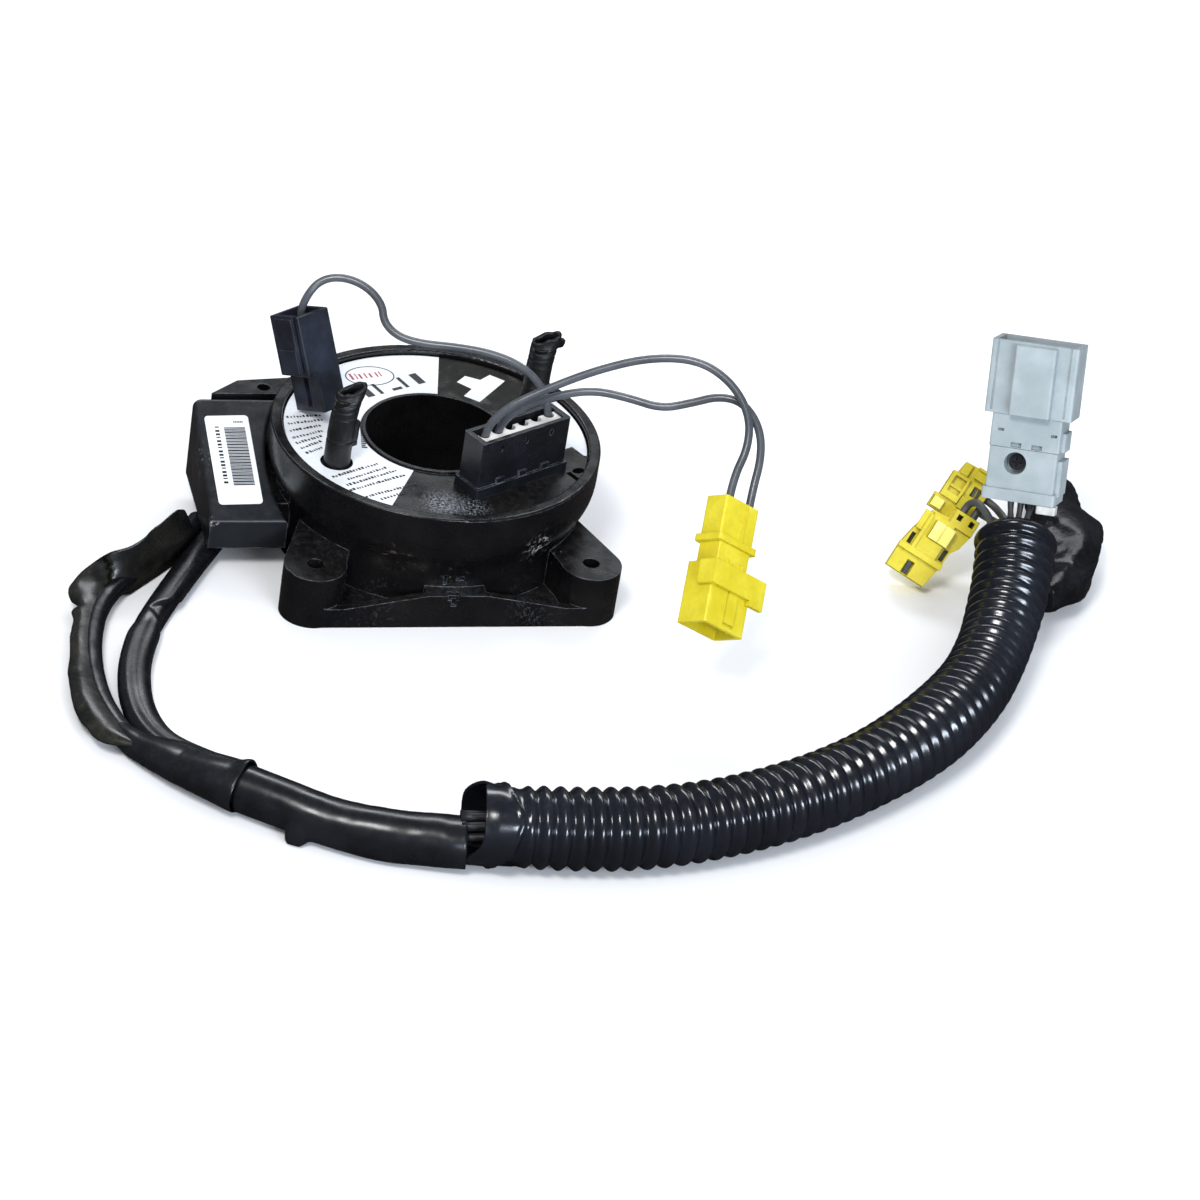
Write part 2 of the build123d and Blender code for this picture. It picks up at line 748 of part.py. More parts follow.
# ---------------------------------------------------------------- airbag lead plug
airbag_frame = Plane(origin=(73.5, -66.2, 53.7), x_dir=(0.805, 0.225, -0.549), z_dir=(-0.254, -0.708, -0.659))
airbag_length = 39.0
rear_width = 14.7
rear_depth = 8.0
rear_length = 11.9
collar_length = 2.0
collar_step = 1.0
mid_width = 13.6
mid_depth = 8.2
shroud_width = 17.2
shroud_depth = 10.8
shroud_start = 20.4
shroud_wall = 1.3
socket_depth = 12.5
lock_thickness = 1.5
lock_length = 7.2
lock_setback = 0.2
lock_tab = 4.2
lock_hook = 5.4
lock_travel = 3.0
lock_gap = 0.12
tongue_width = 4.2
tongue_length = 9.2
keyway_centre = 1.2
keyway_depth = 0.6
keyway_start = lock_setback + lock_length - lock_travel - 0.4
insert_end = airbag_length - socket_depth
airbag_wire_spots = ((-4.2, 1.9), (5.0, 1.9))

with BuildPart(airbag_frame) as airbag_plug:
    # wire end, collar and the part that goes into the shroud
    with BuildSketch(airbag_frame):
        RectangleRounded(rear_width, rear_depth, 0.8)
    extrude(amount=rear_length)
    with BuildSketch(airbag_frame.offset(rear_length)):
        RectangleRounded(mid_width + 2 * collar_step + 1.0, mid_depth + 2 * collar_step, 0.9)
    extrude(amount=collar_length)
    with BuildSketch(airbag_frame.offset(rear_length + collar_length)):
        RectangleRounded(mid_width, mid_depth, 0.6)
    extrude(amount=insert_end - rear_length - collar_length - 0.4)
    # raised seam along the wire end and two nibs in front of the collar
    with BuildSketch(airbag_frame.offset(1.0)):
        with Locations((1.6, rear_depth / 2)):
            Rectangle(0.9, 0.9)
    extrude(amount=rear_length - 1.0)
    with BuildSketch(airbag_frame.offset(shroud_start - 2.0)):
        with Locations((-1.5, mid_depth / 2), (3.6, mid_depth / 2)):
            Rectangle(1.4, 1.4)
    extrude(amount=1.6)
    with BuildSketch(airbag_frame.offset(insert_end - 6.0)):
        with GridLocations(5.4, 0, 2, 1):
            Circle(0.62)
    extrude(amount=8.0, mode=Mode.SUBTRACT)
    with BuildSketch(airbag_frame):
        with Locations(*airbag_wire_spots):
            Circle(wire_diameter / 2 + running_gap)
    extrude(amount=3.0, mode=Mode.SUBTRACT)

save(airbag_plug.part, "airbag_plug")

with BuildPart(airbag_frame) as airbag_shroud:
    # square sleeve with the open mouth
    with BuildSketch(airbag_frame.offset(shroud_start)):
        RectangleRounded(shroud_width, shroud_depth, 0.7)
    extrude(amount=airbag_length - shroud_start)
    with BuildSketch(airbag_frame.offset(shroud_start)):
        Rectangle(mid_width + 2 * running_gap, mid_depth + 2 * running_gap)
    extrude(amount=insert_end - shroud_start, mode=Mode.SUBTRACT)
    with BuildSketch(airbag_frame.offset(insert_end)):
        Rectangle(shroud_width - 2 * shroud_wall, shroud_depth - 2 * shroud_wall)
    extrude(amount=socket_depth, mode=Mode.SUBTRACT)
    # key way that the lock's tongue runs in
    with BuildSketch(airbag_frame.offset(shroud_start + keyway_start)):
        with Locations((keyway_centre, shroud_depth / 2)):
            Rectangle(tongue_width + 2 * lock_gap, 2 * keyway_depth)
    extrude(amount=airbag_length - shroud_start - keyway_start - 1.2, mode=Mode.SUBTRACT)

save(airbag_shroud.part, "airbag_shroud")

with BuildPart(airbag_frame) as airbag_lock:
    # sliding lock: a band round two faces of the shroud and a tongue in the key way
    band_level = shroud_depth / 2 + lock_gap + lock_thickness / 2
    band_left = -(shroud_width / 2 + lock_gap + lock_thickness)
    band_right = shroud_width / 2 + lock_tab
    with BuildSketch(airbag_frame.offset(shroud_start + lock_setback)):
        with Locations(((band_left + band_right) / 2, band_level)):
            Rectangle(band_right - band_left, lock_thickness)
        with Locations((band_left + lock_thickness / 2, band_level - lock_hook / 2)):
            Rectangle(lock_thickness, lock_hook)
    extrude(amount=lock_length)
    with BuildSketch(airbag_frame.offset(shroud_start + lock_setback + lock_length)):
        with Locations((band_right - 3.0, band_level)):
            Rectangle(6.0, lock_thickness)
    extrude(amount=1.6)
    with BuildSketch(airbag_frame.offset(shroud_start + lock_setback + lock_length)):
        with Locations((keyway_centre, shroud_depth / 2 + lock_gap - 0.2)):
            Rectangle(tongue_width, 0.9)
    extrude(amount=tongue_length)

save(airbag_lock.part, "airbag_lock")

with BuildPart(airbag_frame) as airbag_pins:
    # two pins in the mouth
    with BuildSketch(airbag_frame.offset(insert_end - 5.0)):
        with GridLocations(5.4, 0, 2, 1):
            Circle(0.5)
    extrude(amount=12.5)

save(airbag_pins.part, "airbag_pins")

airbag_rear_1 = tuple(airbag_frame.from_local_coords((*airbag_wire_spots[0], 2.9)))
airbag_rear_2 = tuple(airbag_frame.from_local_coords((*airbag_wire_spots[1], 2.9)))
airbag_route_1 = [
    cavity_mouth(0, wire_floor),
    ahead(cavity_mouth(0, wire_floor), (0, 0, 1), 8.0),
    (12.6, -28.4, 65.6),
    (23.6, -28.4, 71.4),
    (37.4, -29.9, 77.6),
    (51.8, -33.0, 82.9),
    (65.0, -38.2, 85.3),
    (73.8, -45.2, 81.9),
    (78.3, -52.6, 75.5),
    (77.6, -58.4, 68.0),
    ahead(airbag_rear_1, (0.254, 0.708, 0.659), 9.0),
    airbag_rear_1,
]
airbag_route_2 = [
    cavity_mouth(1, wire_floor),
    ahead(cavity_mouth(1, wire_floor), (0, 0, 1), 9.0),
    (17.6, -25.4, 64.6),
    (28.0, -26.6, 67.6),
    (37.6, -29.6, 69.4),
    (47.2, -33.8, 69.4),
    (56.0, -38.6, 68.8),
    (64.4, -40.4, 72.0),
    (71.8, -42.0, 75.4),
    (78.4, -45.6, 75.4),
    (82.6, -51.4, 70.4),
    (82.8, -56.8, 63.6),
    ahead(airbag_rear_2, (0.254, 0.708, 0.659), 8.0),
    airbag_rear_2,
]
save(cord("airbag_wire_1", airbag_route_1, wire_diameter), "airbag_wire_1")
save(cord("airbag_wire_2", airbag_route_2, wire_diameter), "airbag_wire_2")

# ---------------------------------------------------------------- sleeves and trunk on the floor
sleeve_level = sleeve_diameter / 2 + 0.1
trunk_level = trunk_diameter / 2 + 0.1
trunk_mouth = (-76.6, -137.4, trunk_level)
trunk_heading = (0.80, -0.60, 0)
trunk_side = (0.60, 0.80, 0)
sleeve_spread = sleeve_diameter / 2 + 0.1
outer_end = ahead(trunk_mouth, trunk_side, -sleeve_spread)
inner_end = ahead(trunk_mouth, trunk_side, sleeve_spread)

outer_route = [
    (-outlet_left - 1.7, 0.6, sleeve_level + 0.4),
    (-77.0, -5.0, sleeve_level + 0.3),
    (-88.4, -14.8, sleeve_level),
    (-98.6, -26.6, sleeve_level),
    (-105.2, -41.6, sleeve_level),
    (-109.0, -58.4, sleeve_level),
    (-110.9, -76.4, sleeve_level),
    (-110.0, -93.0, sleeve_level),
    (-105.6, -108.0, sleeve_level),
    (-97.6, -121.4, sleeve_level + 0.8),
    ahead(outer_end, trunk_heading, -11.0),
    outer_end,
]
inner_route = [
    (-63.4, outlet_front - 1.9, sleeve_level + 0.5),
    (-67.8, -12.0, sleeve_level + 0.3),
    (-74.9, -23.4, sleeve_level),
    (-82.2, -36.4, sleeve_level),
    (-90.2, -51.6, sleeve_level),
    (-96.4, -66.8, sleeve_level),
    (-99.8, -83.0, sleeve_level),
    (-99.9, -98.0, sleeve_level),
    (-96.6, -110.2, sleeve_level + 0.4),
    (-90.4, -119.4, sleeve_level + 1.6),
    ahead(inner_end, trunk_heading, -8.6),
    inner_end,
]
trunk_route = [
    trunk_mouth,
    ahead(trunk_mouth, trunk_heading, 10.4),
    (-56.6, -151.4, trunk_level),
    (-44.8, -157.4, trunk_level),
    (-33.2, -161.2, trunk_level),
    (-22.4, -163.5, trunk_level),
]
save(cord("sleeve_outer", outer_route, sleeve_diameter), "sleeve_outer")
save(cord("sleeve_inner", inner_route, sleeve_diameter), "sleeve_inner")
save(cord("trunk_sleeve", trunk_route, trunk_diameter), "trunk_sleeve")

# ---------------------------------------------------------------- corrugated conduit and its wires
conduit_level = conduit_diameter / 2 + 0.1
conduit_bore = conduit_diameter - 2 * conduit_wall
conduit_route = [
    (-20.0, -160.6, conduit_level),
    (13.0, -166.0, conduit_level),
    (50.0, -162.6, conduit_level),
    (86.6, -149.2, conduit_level),
    (119.2, -128.2, conduit_level),
    (143.4, -104.2, conduit_level),
    (157.2, -83.0, conduit_level + 0.6),
    (165.2, -67.0, conduit_level + 3.2),
    (171.4, -53.8, conduit_level + 7.8),
    (175.0, -41.6, conduit_level + 13.6),
]
save(cord("split_conduit", conduit_route, conduit_diameter, conduit_bore), "split_conduit")

mouth_point = conduit_route[-1]
mouth_heading = (Vector(*conduit_route[-1]) - Vector(*conduit_route[-2])).normalized()
bundle_start = (-21.0, -161.2, conduit_level - 1.6)
bundle_route = [bundle_start] + conduit_route[1:-1] + [ahead(mouth_point, mouth_heading, 1.2)]
save(cord("conduit_wires", bundle_route, bundle_diameter), "conduit_wires")

# ---------------------------------------------------------------- main grey plug
plug_frame = Plane(origin=(177.2, -34.1, 34.8), x_dir=(0.845, -0.511, 0.157), z_dir=(0.047, 0.367, 0.929))
plug_flange = 3.6
plug_cap_top = 16.2
plug_holder_top = 26.4
plug_top = 48.8
plug_width = 21.0
plug_depth = 14.0
plug_flange_step = 0.8
hood_width = 26.8
hood_depth = 15.0
hood_wall = 1.6
hood_floor = 6.0
key_width = 12.4
key_depth = 3.2
screw_way = 6.8
pin_length = 8.0
screw_spot = (-2.1, 11.7)
plug_front = -plug_depth / 2

with BuildPart(plug_frame) as main_plug_cap:
    # lower half: flange, body with the round screw way, side rail
    with BuildSketch(plug_frame):
        RectangleRounded(plug_width + 2 * plug_flange_step, plug_depth + 2 * plug_flange_step, 0.8)
    extrude(amount=plug_flange)
    with BuildSketch(plug_frame.offset(plug_flange)):
        RectangleRounded(plug_width, plug_depth, 0.6)
    extrude(amount=plug_cap_top - plug_flange)
    with BuildSketch(plug_frame.offset(plug_flange - 1.0)):
        with Locations((plug_width / 2 + 0.6, 1.2)):
            Rectangle(1.6, plug_depth - 3.6)
    extrude(amount=plug_cap_top - plug_flange - 1.6)
    cap_face = Plane(
        origin=plug_frame.from_local_coords((screw_spot[0], plug_front, screw_spot[1])),
        x_dir=plug_frame.x_dir,
        z_dir=-plug_frame.y_dir,
    )
    with BuildSketch(cap_face):
        Circle(screw_way / 2)
    extrude(amount=-4.6, mode=Mode.SUBTRACT)
    # wire way
    with BuildSketch(plug_frame):
        Rectangle(plug_width - 5.0, plug_depth - 5.4)
    extrude(amount=5.0, mode=Mode.SUBTRACT)

save(main_plug_cap.part, "main_plug_cap")

with BuildPart(plug_frame) as main_plug_holder:
    # middle piece that carries the terminals
    with BuildSketch(plug_frame.offset(plug_cap_top + 0.1)):
        RectangleRounded(plug_width + 0.6, plug_depth + 0.2, 0.6)
    extrude(amount=plug_holder_top - plug_cap_top - 0.1)
    with BuildSketch(plug_frame.offset(plug_cap_top + 0.1)):
        with Locations((plug_width / 2 + 0.7, 1.2)):
            Rectangle(1.4, plug_depth - 5.0)
    extrude(amount=5.8)
    # two notches in the seam and two small slots over them
    holder_face = Plane(
        origin=plug_frame.from_local_coords((0, plug_front - 0.1, plug_cap_top)),
        x_dir=plug_frame.x_dir,
        z_dir=-plug_frame.y_dir,
    )
    with BuildSketch(holder_face):
        with Locations((-2.5, 1.1), (3.9, 1.1)):
            Rectangle(3.2, 1.4)
        with Locations((-7.6, 5.3), (8.8, 5.3)):
            Rectangle(1.8, 0.8)
    extrude(amount=-1.2, mode=Mode.SUBTRACT)

save(main_plug_holder.part, "main_plug_holder")

with BuildPart(plug_frame) as main_plug_hood:
    # open hood round the pins, with the wide key on its front
    with BuildSketch(plug_frame.offset(plug_holder_top)):
        RectangleRounded(hood_width, hood_depth, 0.8)
    extrude(amount=plug_top - plug_holder_top)
    with BuildSketch(plug_frame.offset(plug_holder_top + 0.4)):
        with Locations((0.8, -hood_depth / 2 - key_depth / 2 + 0.4)):
            RectangleRounded(key_width, key_depth + 0.8, 0.6)
    extrude(amount=plug_top - plug_holder_top - 1.2)
    with BuildSketch(plug_frame.offset(plug_holder_top + hood_floor)):
        Rectangle(hood_width - 2 * hood_wall, hood_depth - 2 * hood_wall)
    extrude(amount=plug_top, mode=Mode.SUBTRACT)
    # shallow grooves beside the key
    with BuildSketch(plug_frame.offset(plug_holder_top + 1.0)):
        with Locations((-hood_width / 2 + 2.0, -hood_depth / 2), (hood_width / 2 - 2.4, -hood_depth / 2)):
            Rectangle(0.5, 0.6)
    extrude(amount=plug_top, mode=Mode.SUBTRACT)

save(main_plug_hood.part, "main_plug_hood")

with BuildPart(plug_frame) as main_plug_pins:
    with BuildSketch(plug_frame.offset(plug_holder_top + hood_floor)):
        with GridLocations(3.6, 5.0, 6, 2):
            Rectangle(0.8, 0.8)
    extrude(amount=pin_length)

save(main_plug_pins.part, "main_plug_pins")

with BuildPart(plug_frame) as plug_screw:
    # screw at the bottom of the round way
    screw_seat = cap_face.offset(-4.5)
    with BuildSketch(screw_seat):
        Circle(2.5)
    extrude(amount=1.7)
    with BuildSketch(screw_seat.offset(1.7)):
        Rectangle(3.4, 0.6)
        Rectangle(0.6, 3.4)
    extrude(amount=-0.9, mode=Mode.SUBTRACT)

save(plug_screw.part, "plug_screw")

with BuildPart(plug_frame) as plug_clip:
    # clear clip hooked on the flange's back corner
    with BuildSketch(plug_frame.offset(-2.6)):
        with Locations((plug_width / 2 - 1.6, plug_front - plug_flange_step + 2.6)):
            RectangleRounded(6.0, 4.6, 0.8)
    extrude(amount=2.5)

save(plug_clip.part, "plug_clip")

# wires from the conduit's mouth up into the plug
lead_count = 6
lead_diameter = 1.7
with BuildPart() as main_plug_wires:
    for lead in range(lead_count):
        across = 2.2 * (lead % 3 - 1)
        back = 2.4 * (lead // 3) - 1.2
        mouth_frame = Plane(
            origin=ahead(mouth_point, mouth_heading, 1.4), x_dir=(1, 0, 0), z_dir=mouth_heading
        )
        low = mouth_frame.from_local_coords((across, back, 0))
        low_ahead = mouth_frame.from_local_coords((across, back, 3.2))
        high = plug_frame.from_local_coords((1.5 * across, 1.2 * back, 4.6))
        high_below = plug_frame.from_local_coords((1.5 * across, 1.2 * back, -0.6))
        with BuildLine() as lead_route:
            stops = [tuple(low), tuple(low_ahead), tuple(high_below), tuple(high)]
            FilletPolyline(*stops, radius=corner_radii(stops))
        path = lead_route.wires()[0]
        with BuildSketch(Plane(origin=path @ 0, z_dir=path % 0)):
            Circle(lead_diameter / 2)
        sweep(path=path)

save(main_plug_wires.part, "main_plug_wires")

# ---------------------------------------------------------------- two yellow harness plugs
# both lean on their stiff wires with their broad faces turned up and forwards
lean_x = (0.809, -0.490, -0.324)
lean_z = (-0.263, -0.796, 0.546)
srs_lock_gap = 0.1
srs_lock_travel = 1.8
srs_pin_depth = 4.6

srs_frame_a = Plane(origin=(139.3, -31.4, 9.3), x_dir=lean_x, z_dir=lean_z)
srs_back_a = 9.0
srs_face_a = -1.5
srs_ridge_a = 0.2
srs_length_a = 26.0
srs_lock_size_a = (6.6, 6.0)
srs_lock_spot_a = (9.3, 16.6)
srs_lock_top_a = 2.0

with BuildPart(srs_frame_a) as srs_plug_a:
    # body outline, wider at the wire end on one side
    with BuildSketch(srs_frame_a.offset(-srs_back_a)):
        Polygon(
            (0, 0),
            (13.2, 0),
            (14.6, 8.0),
            (14.8, 13.0),
            (16.4, 15.5),
            (17.6, 20.8),
            (17.6, srs_length_a),
            (9.4, srs_length_a),
            (8.6, 22.4),
            (3.4, 21.8),
            (1.2, 14.6),
            (0, 8.0),
            align=None,
        )
    extrude(amount=srs_back_a + srs_face_a)
    # cross bar, ridge with its two rails, shoulder and wire-end block
    with BuildSketch(srs_frame_a.offset(srs_face_a)):
        with Locations((7.3, 7.7)):
            Rectangle(15.2, 1.9)
        with Locations((3.9, 14.4)):
            Rectangle(1.1, 12.0)
    extrude(amount=1.0 - srs_face_a)
    with BuildSketch(srs_frame_a.offset(srs_face_a)):
        with Locations((8.0, 14.8)):
            Rectangle(7.6, 13.0)
        with Locations((2.6, 17.6)):
            Rectangle(2.6, 6.4)
        with Locations((13.4, 23.2)):
            Rectangle(8.0, 5.2)
    extrude(amount=srs_ridge_a - srs_face_a)
    # windows over the terminals
    with BuildSketch(srs_frame_a.offset(srs_ridge_a)):
        with Locations((6.1, 2.5)):
            Rectangle(2.6, 4.6)
        with Locations((2.1, 10.9)):
            Rectangle(1.3, 3.7)
        with Locations((13.4, 11.4)):
            Rectangle(1.5, 4.0)
        with Locations((11.4, 23.9), (15.6, 23.9)):
            Rectangle(1.6, 1.9)
    extrude(amount=-srs_pin_depth, mode=Mode.SUBTRACT)
    # seat of the lock block and the two wire holes
    with BuildSketch(srs_frame_a.offset(srs_ridge_a)):
        with Locations(srs_lock_spot_a):
            Rectangle(srs_lock_size_a[0] + 2 * srs_lock_gap, srs_lock_size_a[1] + 2 * srs_lock_gap)
    extrude(amount=srs_face_a - srs_ridge_a - srs_lock_travel, mode=Mode.SUBTRACT)
    srs_end_a = Plane(
        origin=srs_frame_a.from_local_coords((13.4, srs_length_a, -5.2)),
        x_dir=srs_frame_a.x_dir,
        z_dir=srs_frame_a.y_dir,
    )
    with BuildSketch(srs_end_a):
        with GridLocations(3.6, 0, 2, 1):
            Circle(wire_diameter / 2 + running_gap)
    extrude(amount=-3.4, mode=Mode.SUBTRACT)

save(srs_plug_a.part, "srs_plug_a")

with BuildPart(srs_frame_a) as srs_lock_a:
    # pale lock block that presses down into the ridge
    with BuildSketch(srs_frame_a.offset(srs_face_a + srs_lock_gap)):
        with Locations(srs_lock_spot_a):
            Rectangle(*srs_lock_size_a)
    extrude(amount=srs_lock_top_a - srs_face_a - srs_lock_gap)
    with BuildSketch(srs_frame_a.offset(srs_lock_top_a)):
        with Locations(srs_lock_spot_a):
            Rectangle(0.5, srs_lock_size_a[1])
    extrude(amount=-0.5, mode=Mode.SUBTRACT)

save(srs_lock_a.part, "srs_lock_a")

with BuildPart(srs_frame_a) as srs_terminals_a:
    # terminals lying at the bottom of the windows
    with BuildSketch(srs_frame_a.offset(srs_ridge_a - srs_pin_depth)):
        with Locations((6.1, 2.5)):
            Rectangle(1.4, 4.0)
        with Locations((2.1, 10.9), (13.4, 11.4)):
            Rectangle(0.8, 3.2)
    extrude(amount=1.0)

save(srs_terminals_a.part, "srs_terminals_a")

srs_frame_b = Plane(origin=(158.6, -15.0, 24.5), x_dir=lean_x, z_dir=lean_z)
srs_back_b = 8.0
srs_face_b = -2.0
srs_lock_size_b = (3.6, 3.2)
srs_lock_spot_b = (0.9, -2.8)
srs_lock_top_b = -0.4
srs_width_b = 13.0

with BuildPart(srs_frame_b) as srs_plug_b:
    with BuildSketch(srs_frame_b.offset(-srs_back_b)):
        Polygon(
            (0, 0),
            (0, 8.6),
            (1.4, 8.8),
            (2.0, 12.8),
            (srs_width_b, 13.6),
            (srs_width_b, -1.0),
            (5.7, -4.8),
            (-1.3, -4.8),
            (-1.3, 0),
            align=None,
        )
    extrude(amount=srs_back_b + srs_face_b)
    # tray, upper latch, ridge and lower strip
    with BuildSketch(srs_frame_b.offset(srs_face_b)):
        with Locations((3.0, 4.3)):
            Rectangle(6.0, 8.6)
        with Locations((3.2, 4.8)):
            Rectangle(4.0, 5.4, mode=Mode.SUBTRACT)
    extrude(amount=-srs_face_b)
    with BuildSketch(srs_frame_b.offset(srs_face_b)):
        with Locations((3.2, 4.2)):
            Rectangle(4.4, 0.9)
        with Locations((3.1, 10.7)):
            Rectangle(2.6, 3.9)
        with Locations((9.6, 11.6)):
            Rectangle(6.8, 3.6)
        with Locations((9.6, 1.2)):
            Rectangle(6.6, 4.0)
    extrude(amount=-0.5 - srs_face_b)
    with BuildSketch(srs_frame_b.offset(-0.5)):
        with Locations((9.6, 13.0)):
            Rectangle(6.8, 0.9)
        with Locations((9.6, 10.0)):
            Rectangle(6.8, 0.8)
    extrude(amount=1.0)
    with BuildSketch(srs_frame_b.offset(srs_face_b)):
        with Locations(srs_lock_spot_b):
            Rectangle(srs_lock_size_b[0] + 2 * srs_lock_gap, srs_lock_size_b[1] + 2 * srs_lock_gap)
    extrude(amount=-srs_lock_travel, mode=Mode.SUBTRACT)
    with BuildSketch(srs_frame_b.offset(srs_face_b)):
        with Locations((9.6, 6.0)):
            Rectangle(3.0, 3.4)
    extrude(amount=-2.4, mode=Mode.SUBTRACT)
    srs_end_b = Plane(
        origin=srs_frame_b.from_local_coords((srs_width_b, 4.0, -6.0)),
        x_dir=srs_frame_b.y_dir,
        z_dir=srs_frame_b.x_dir,
    )
    with BuildSketch(srs_end_b):
        with GridLocations(4.4, 0, 2, 1):
            Circle(wire_diameter / 2 + running_gap)
    extrude(amount=-3.4, mode=Mode.SUBTRACT)

save(srs_plug_b.part, "srs_plug_b")

with BuildPart(srs_frame_b) as srs_lock_b:
    with BuildSketch(srs_frame_b.offset(srs_face_b + srs_lock_gap)):
        with Locations(srs_lock_spot_b):
            Rectangle(*srs_lock_size_b)
    extrude(amount=srs_lock_top_b - srs_face_b - srs_lock_gap)

save(srs_lock_b.part, "srs_lock_b")

with BuildPart(srs_frame_b) as srs_terminals_b:
    with BuildSketch(srs_frame_b.offset(srs_face_b - 2.4)):
        with Locations((8.9, 6.0), (10.3, 6.0)):
            Rectangle(0.7, 2.8)
    extrude(amount=1.0)

save(srs_terminals_b.part, "srs_terminals_b")

# short wires from each yellow plug back into the conduit's mouth
mouth_ring = (bundle_diameter + conduit_bore) / 4
for name, end_plane, spread, angles, lift in (
    ("a", srs_end_a, 3.6, (168, 140), (-0.5, 2.5, 2.0)),
    ("b", srs_end_b, 4.4, (62, 88), (2.5, 1.5, -1.5)),
):
    with BuildPart() as srs_wires:
        for side, angle in zip((-0.5, 0.5), angles):
            ring_x = mouth_ring * cos(radians(angle))
            ring_y = mouth_ring * sin(radians(angle))
            hole = Vector(*end_plane.from_local_coords((side * spread, 0, -3.3)))
            clear = Vector(*end_plane.from_local_coords((side * spread, 0, 3.6)))
            seat = Vector(*mouth_frame.from_local_coords((ring_x, ring_y, -5.0)))
            above = Vector(*mouth_frame.from_local_coords((ring_x, ring_y, 4.0)))
            over = (clear + above) * 0.5 + Vector(*lift)
            stops = [tuple(hole), tuple(clear), tuple(over), tuple(above), tuple(seat)]
            with BuildLine() as wire_route:
                FilletPolyline(*stops, radius=corner_radii(stops))
            path = wire_route.wires()[0]
            with BuildSketch(Plane(origin=path @ 0, z_dir=path % 0)):
                Circle(wire_diameter / 2)
            sweep(path=path)
    save(srs_wires.part, f"srs_wires_{name}")

# ---------------------------------------------------------------- taped branch beside the plug
tape_stations = [
    ((186.2, -49.0, 12.6), (4.7, 4.7)),
    ((198.6, -36.0, 8.6), (8.4, 7.4)),
    ((202.2, -21.0, 9.6), (11.6, 9.4)),
    ((203.0, -6.0, 9.2), (9.8, 9.0)),
    ((205.0, 8.0, 8.8), (7.6, 8.2)),
    ((207.4, 19.0, 8.0), (6.0, 7.2)),
]
tape_heading = (0.22, 0.975, 0)
with BuildPart() as taped_branch:
    # wires folded back and bound in tape
    for centre, (half_width, half_height) in tape_stations:
        with BuildSketch(Plane(origin=centre, x_dir=(0.975, -0.22, 0), z_dir=tape_heading)):
            Ellipse(half_width, half_height)
    loft()

save(taped_branch.part, "taped_branch")
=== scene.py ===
"""Steering clock spring with its harness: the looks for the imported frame.

Places and sizes are in millimetres and turn to metres where a mesh is made. The fixed half comes
first, with its harness and plugs, then the turning half with its leads, then the studio.
"""
import math

import bmesh
import bpy
import numpy as np
from mathutils import Matrix, Vector


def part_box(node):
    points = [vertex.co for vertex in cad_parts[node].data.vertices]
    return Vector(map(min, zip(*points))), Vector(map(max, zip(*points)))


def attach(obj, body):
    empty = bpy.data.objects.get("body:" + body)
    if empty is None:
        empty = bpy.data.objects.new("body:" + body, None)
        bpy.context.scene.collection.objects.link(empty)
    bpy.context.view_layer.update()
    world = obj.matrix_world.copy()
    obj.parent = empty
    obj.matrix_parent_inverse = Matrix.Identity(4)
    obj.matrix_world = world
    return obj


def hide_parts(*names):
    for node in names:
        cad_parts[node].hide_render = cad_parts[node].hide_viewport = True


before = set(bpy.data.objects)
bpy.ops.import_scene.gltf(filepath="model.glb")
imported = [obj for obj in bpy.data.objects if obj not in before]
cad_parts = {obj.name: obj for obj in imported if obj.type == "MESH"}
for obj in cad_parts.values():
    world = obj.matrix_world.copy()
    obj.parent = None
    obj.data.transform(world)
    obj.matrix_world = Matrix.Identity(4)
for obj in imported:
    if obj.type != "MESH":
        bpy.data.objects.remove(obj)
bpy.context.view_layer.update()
scene = bpy.context.scene
scene.view_settings.view_transform = "Standard"

# ---- Drum housing and bottom cover
# The fixed drum with its four mounting ears, and the plate that closes it from below. Both are
# injection moulded in black glass-filled PBT, and the plate snaps in. Handling has scuffed the wall.
MM = 0.001


def hex_colour(text):
    """An sRGB hex colour as linear RGBA."""
    parts = [int(text[i:i + 2], 16) / 255 for i in (0, 2, 4)]
    return tuple(p / 12.92 if p <= 0.04045 else ((p + 0.055) / 1.055) ** 2.4 for p in parts) + (1.0,)


def node(tree, kind, output=None, **settings):
    """A shader node with its properties and sockets set; a setting that is a socket is linked.

    in0 is the first socket, in1 the second. Returns the output asked for, or else the node.
    """
    made = tree.nodes.new("ShaderNode" + kind)
    for key, value in settings.items():
        label = key.replace("_", " ")
        if key.startswith("in") and key[2:].isdigit():
            socket = made.inputs[int(key[2:])]
        elif label in made.inputs:
            socket = made.inputs[label]
        else:
            setattr(made, key, value)
            continue
        if isinstance(value, bpy.types.NodeSocket):
            tree.links.new(value, socket)
        else:
            socket.default_value = value
    return made if output is None else made.outputs[output]


def blank_material(name):
    """A material with an empty node tree, and that tree."""
    made = bpy.data.materials.new(name)
    made.use_nodes = True
    made.node_tree.nodes.clear()
    return made, made.node_tree


# settings that many nodes share: a noise with its own seed (W), a smooth step, a colour mix
SEEDED = {"noise_dimensions": "4D"}
SMOOTH = {"interpolation_type": "SMOOTHSTEP"}
COLOURS = {"data_type": "RGBA"}


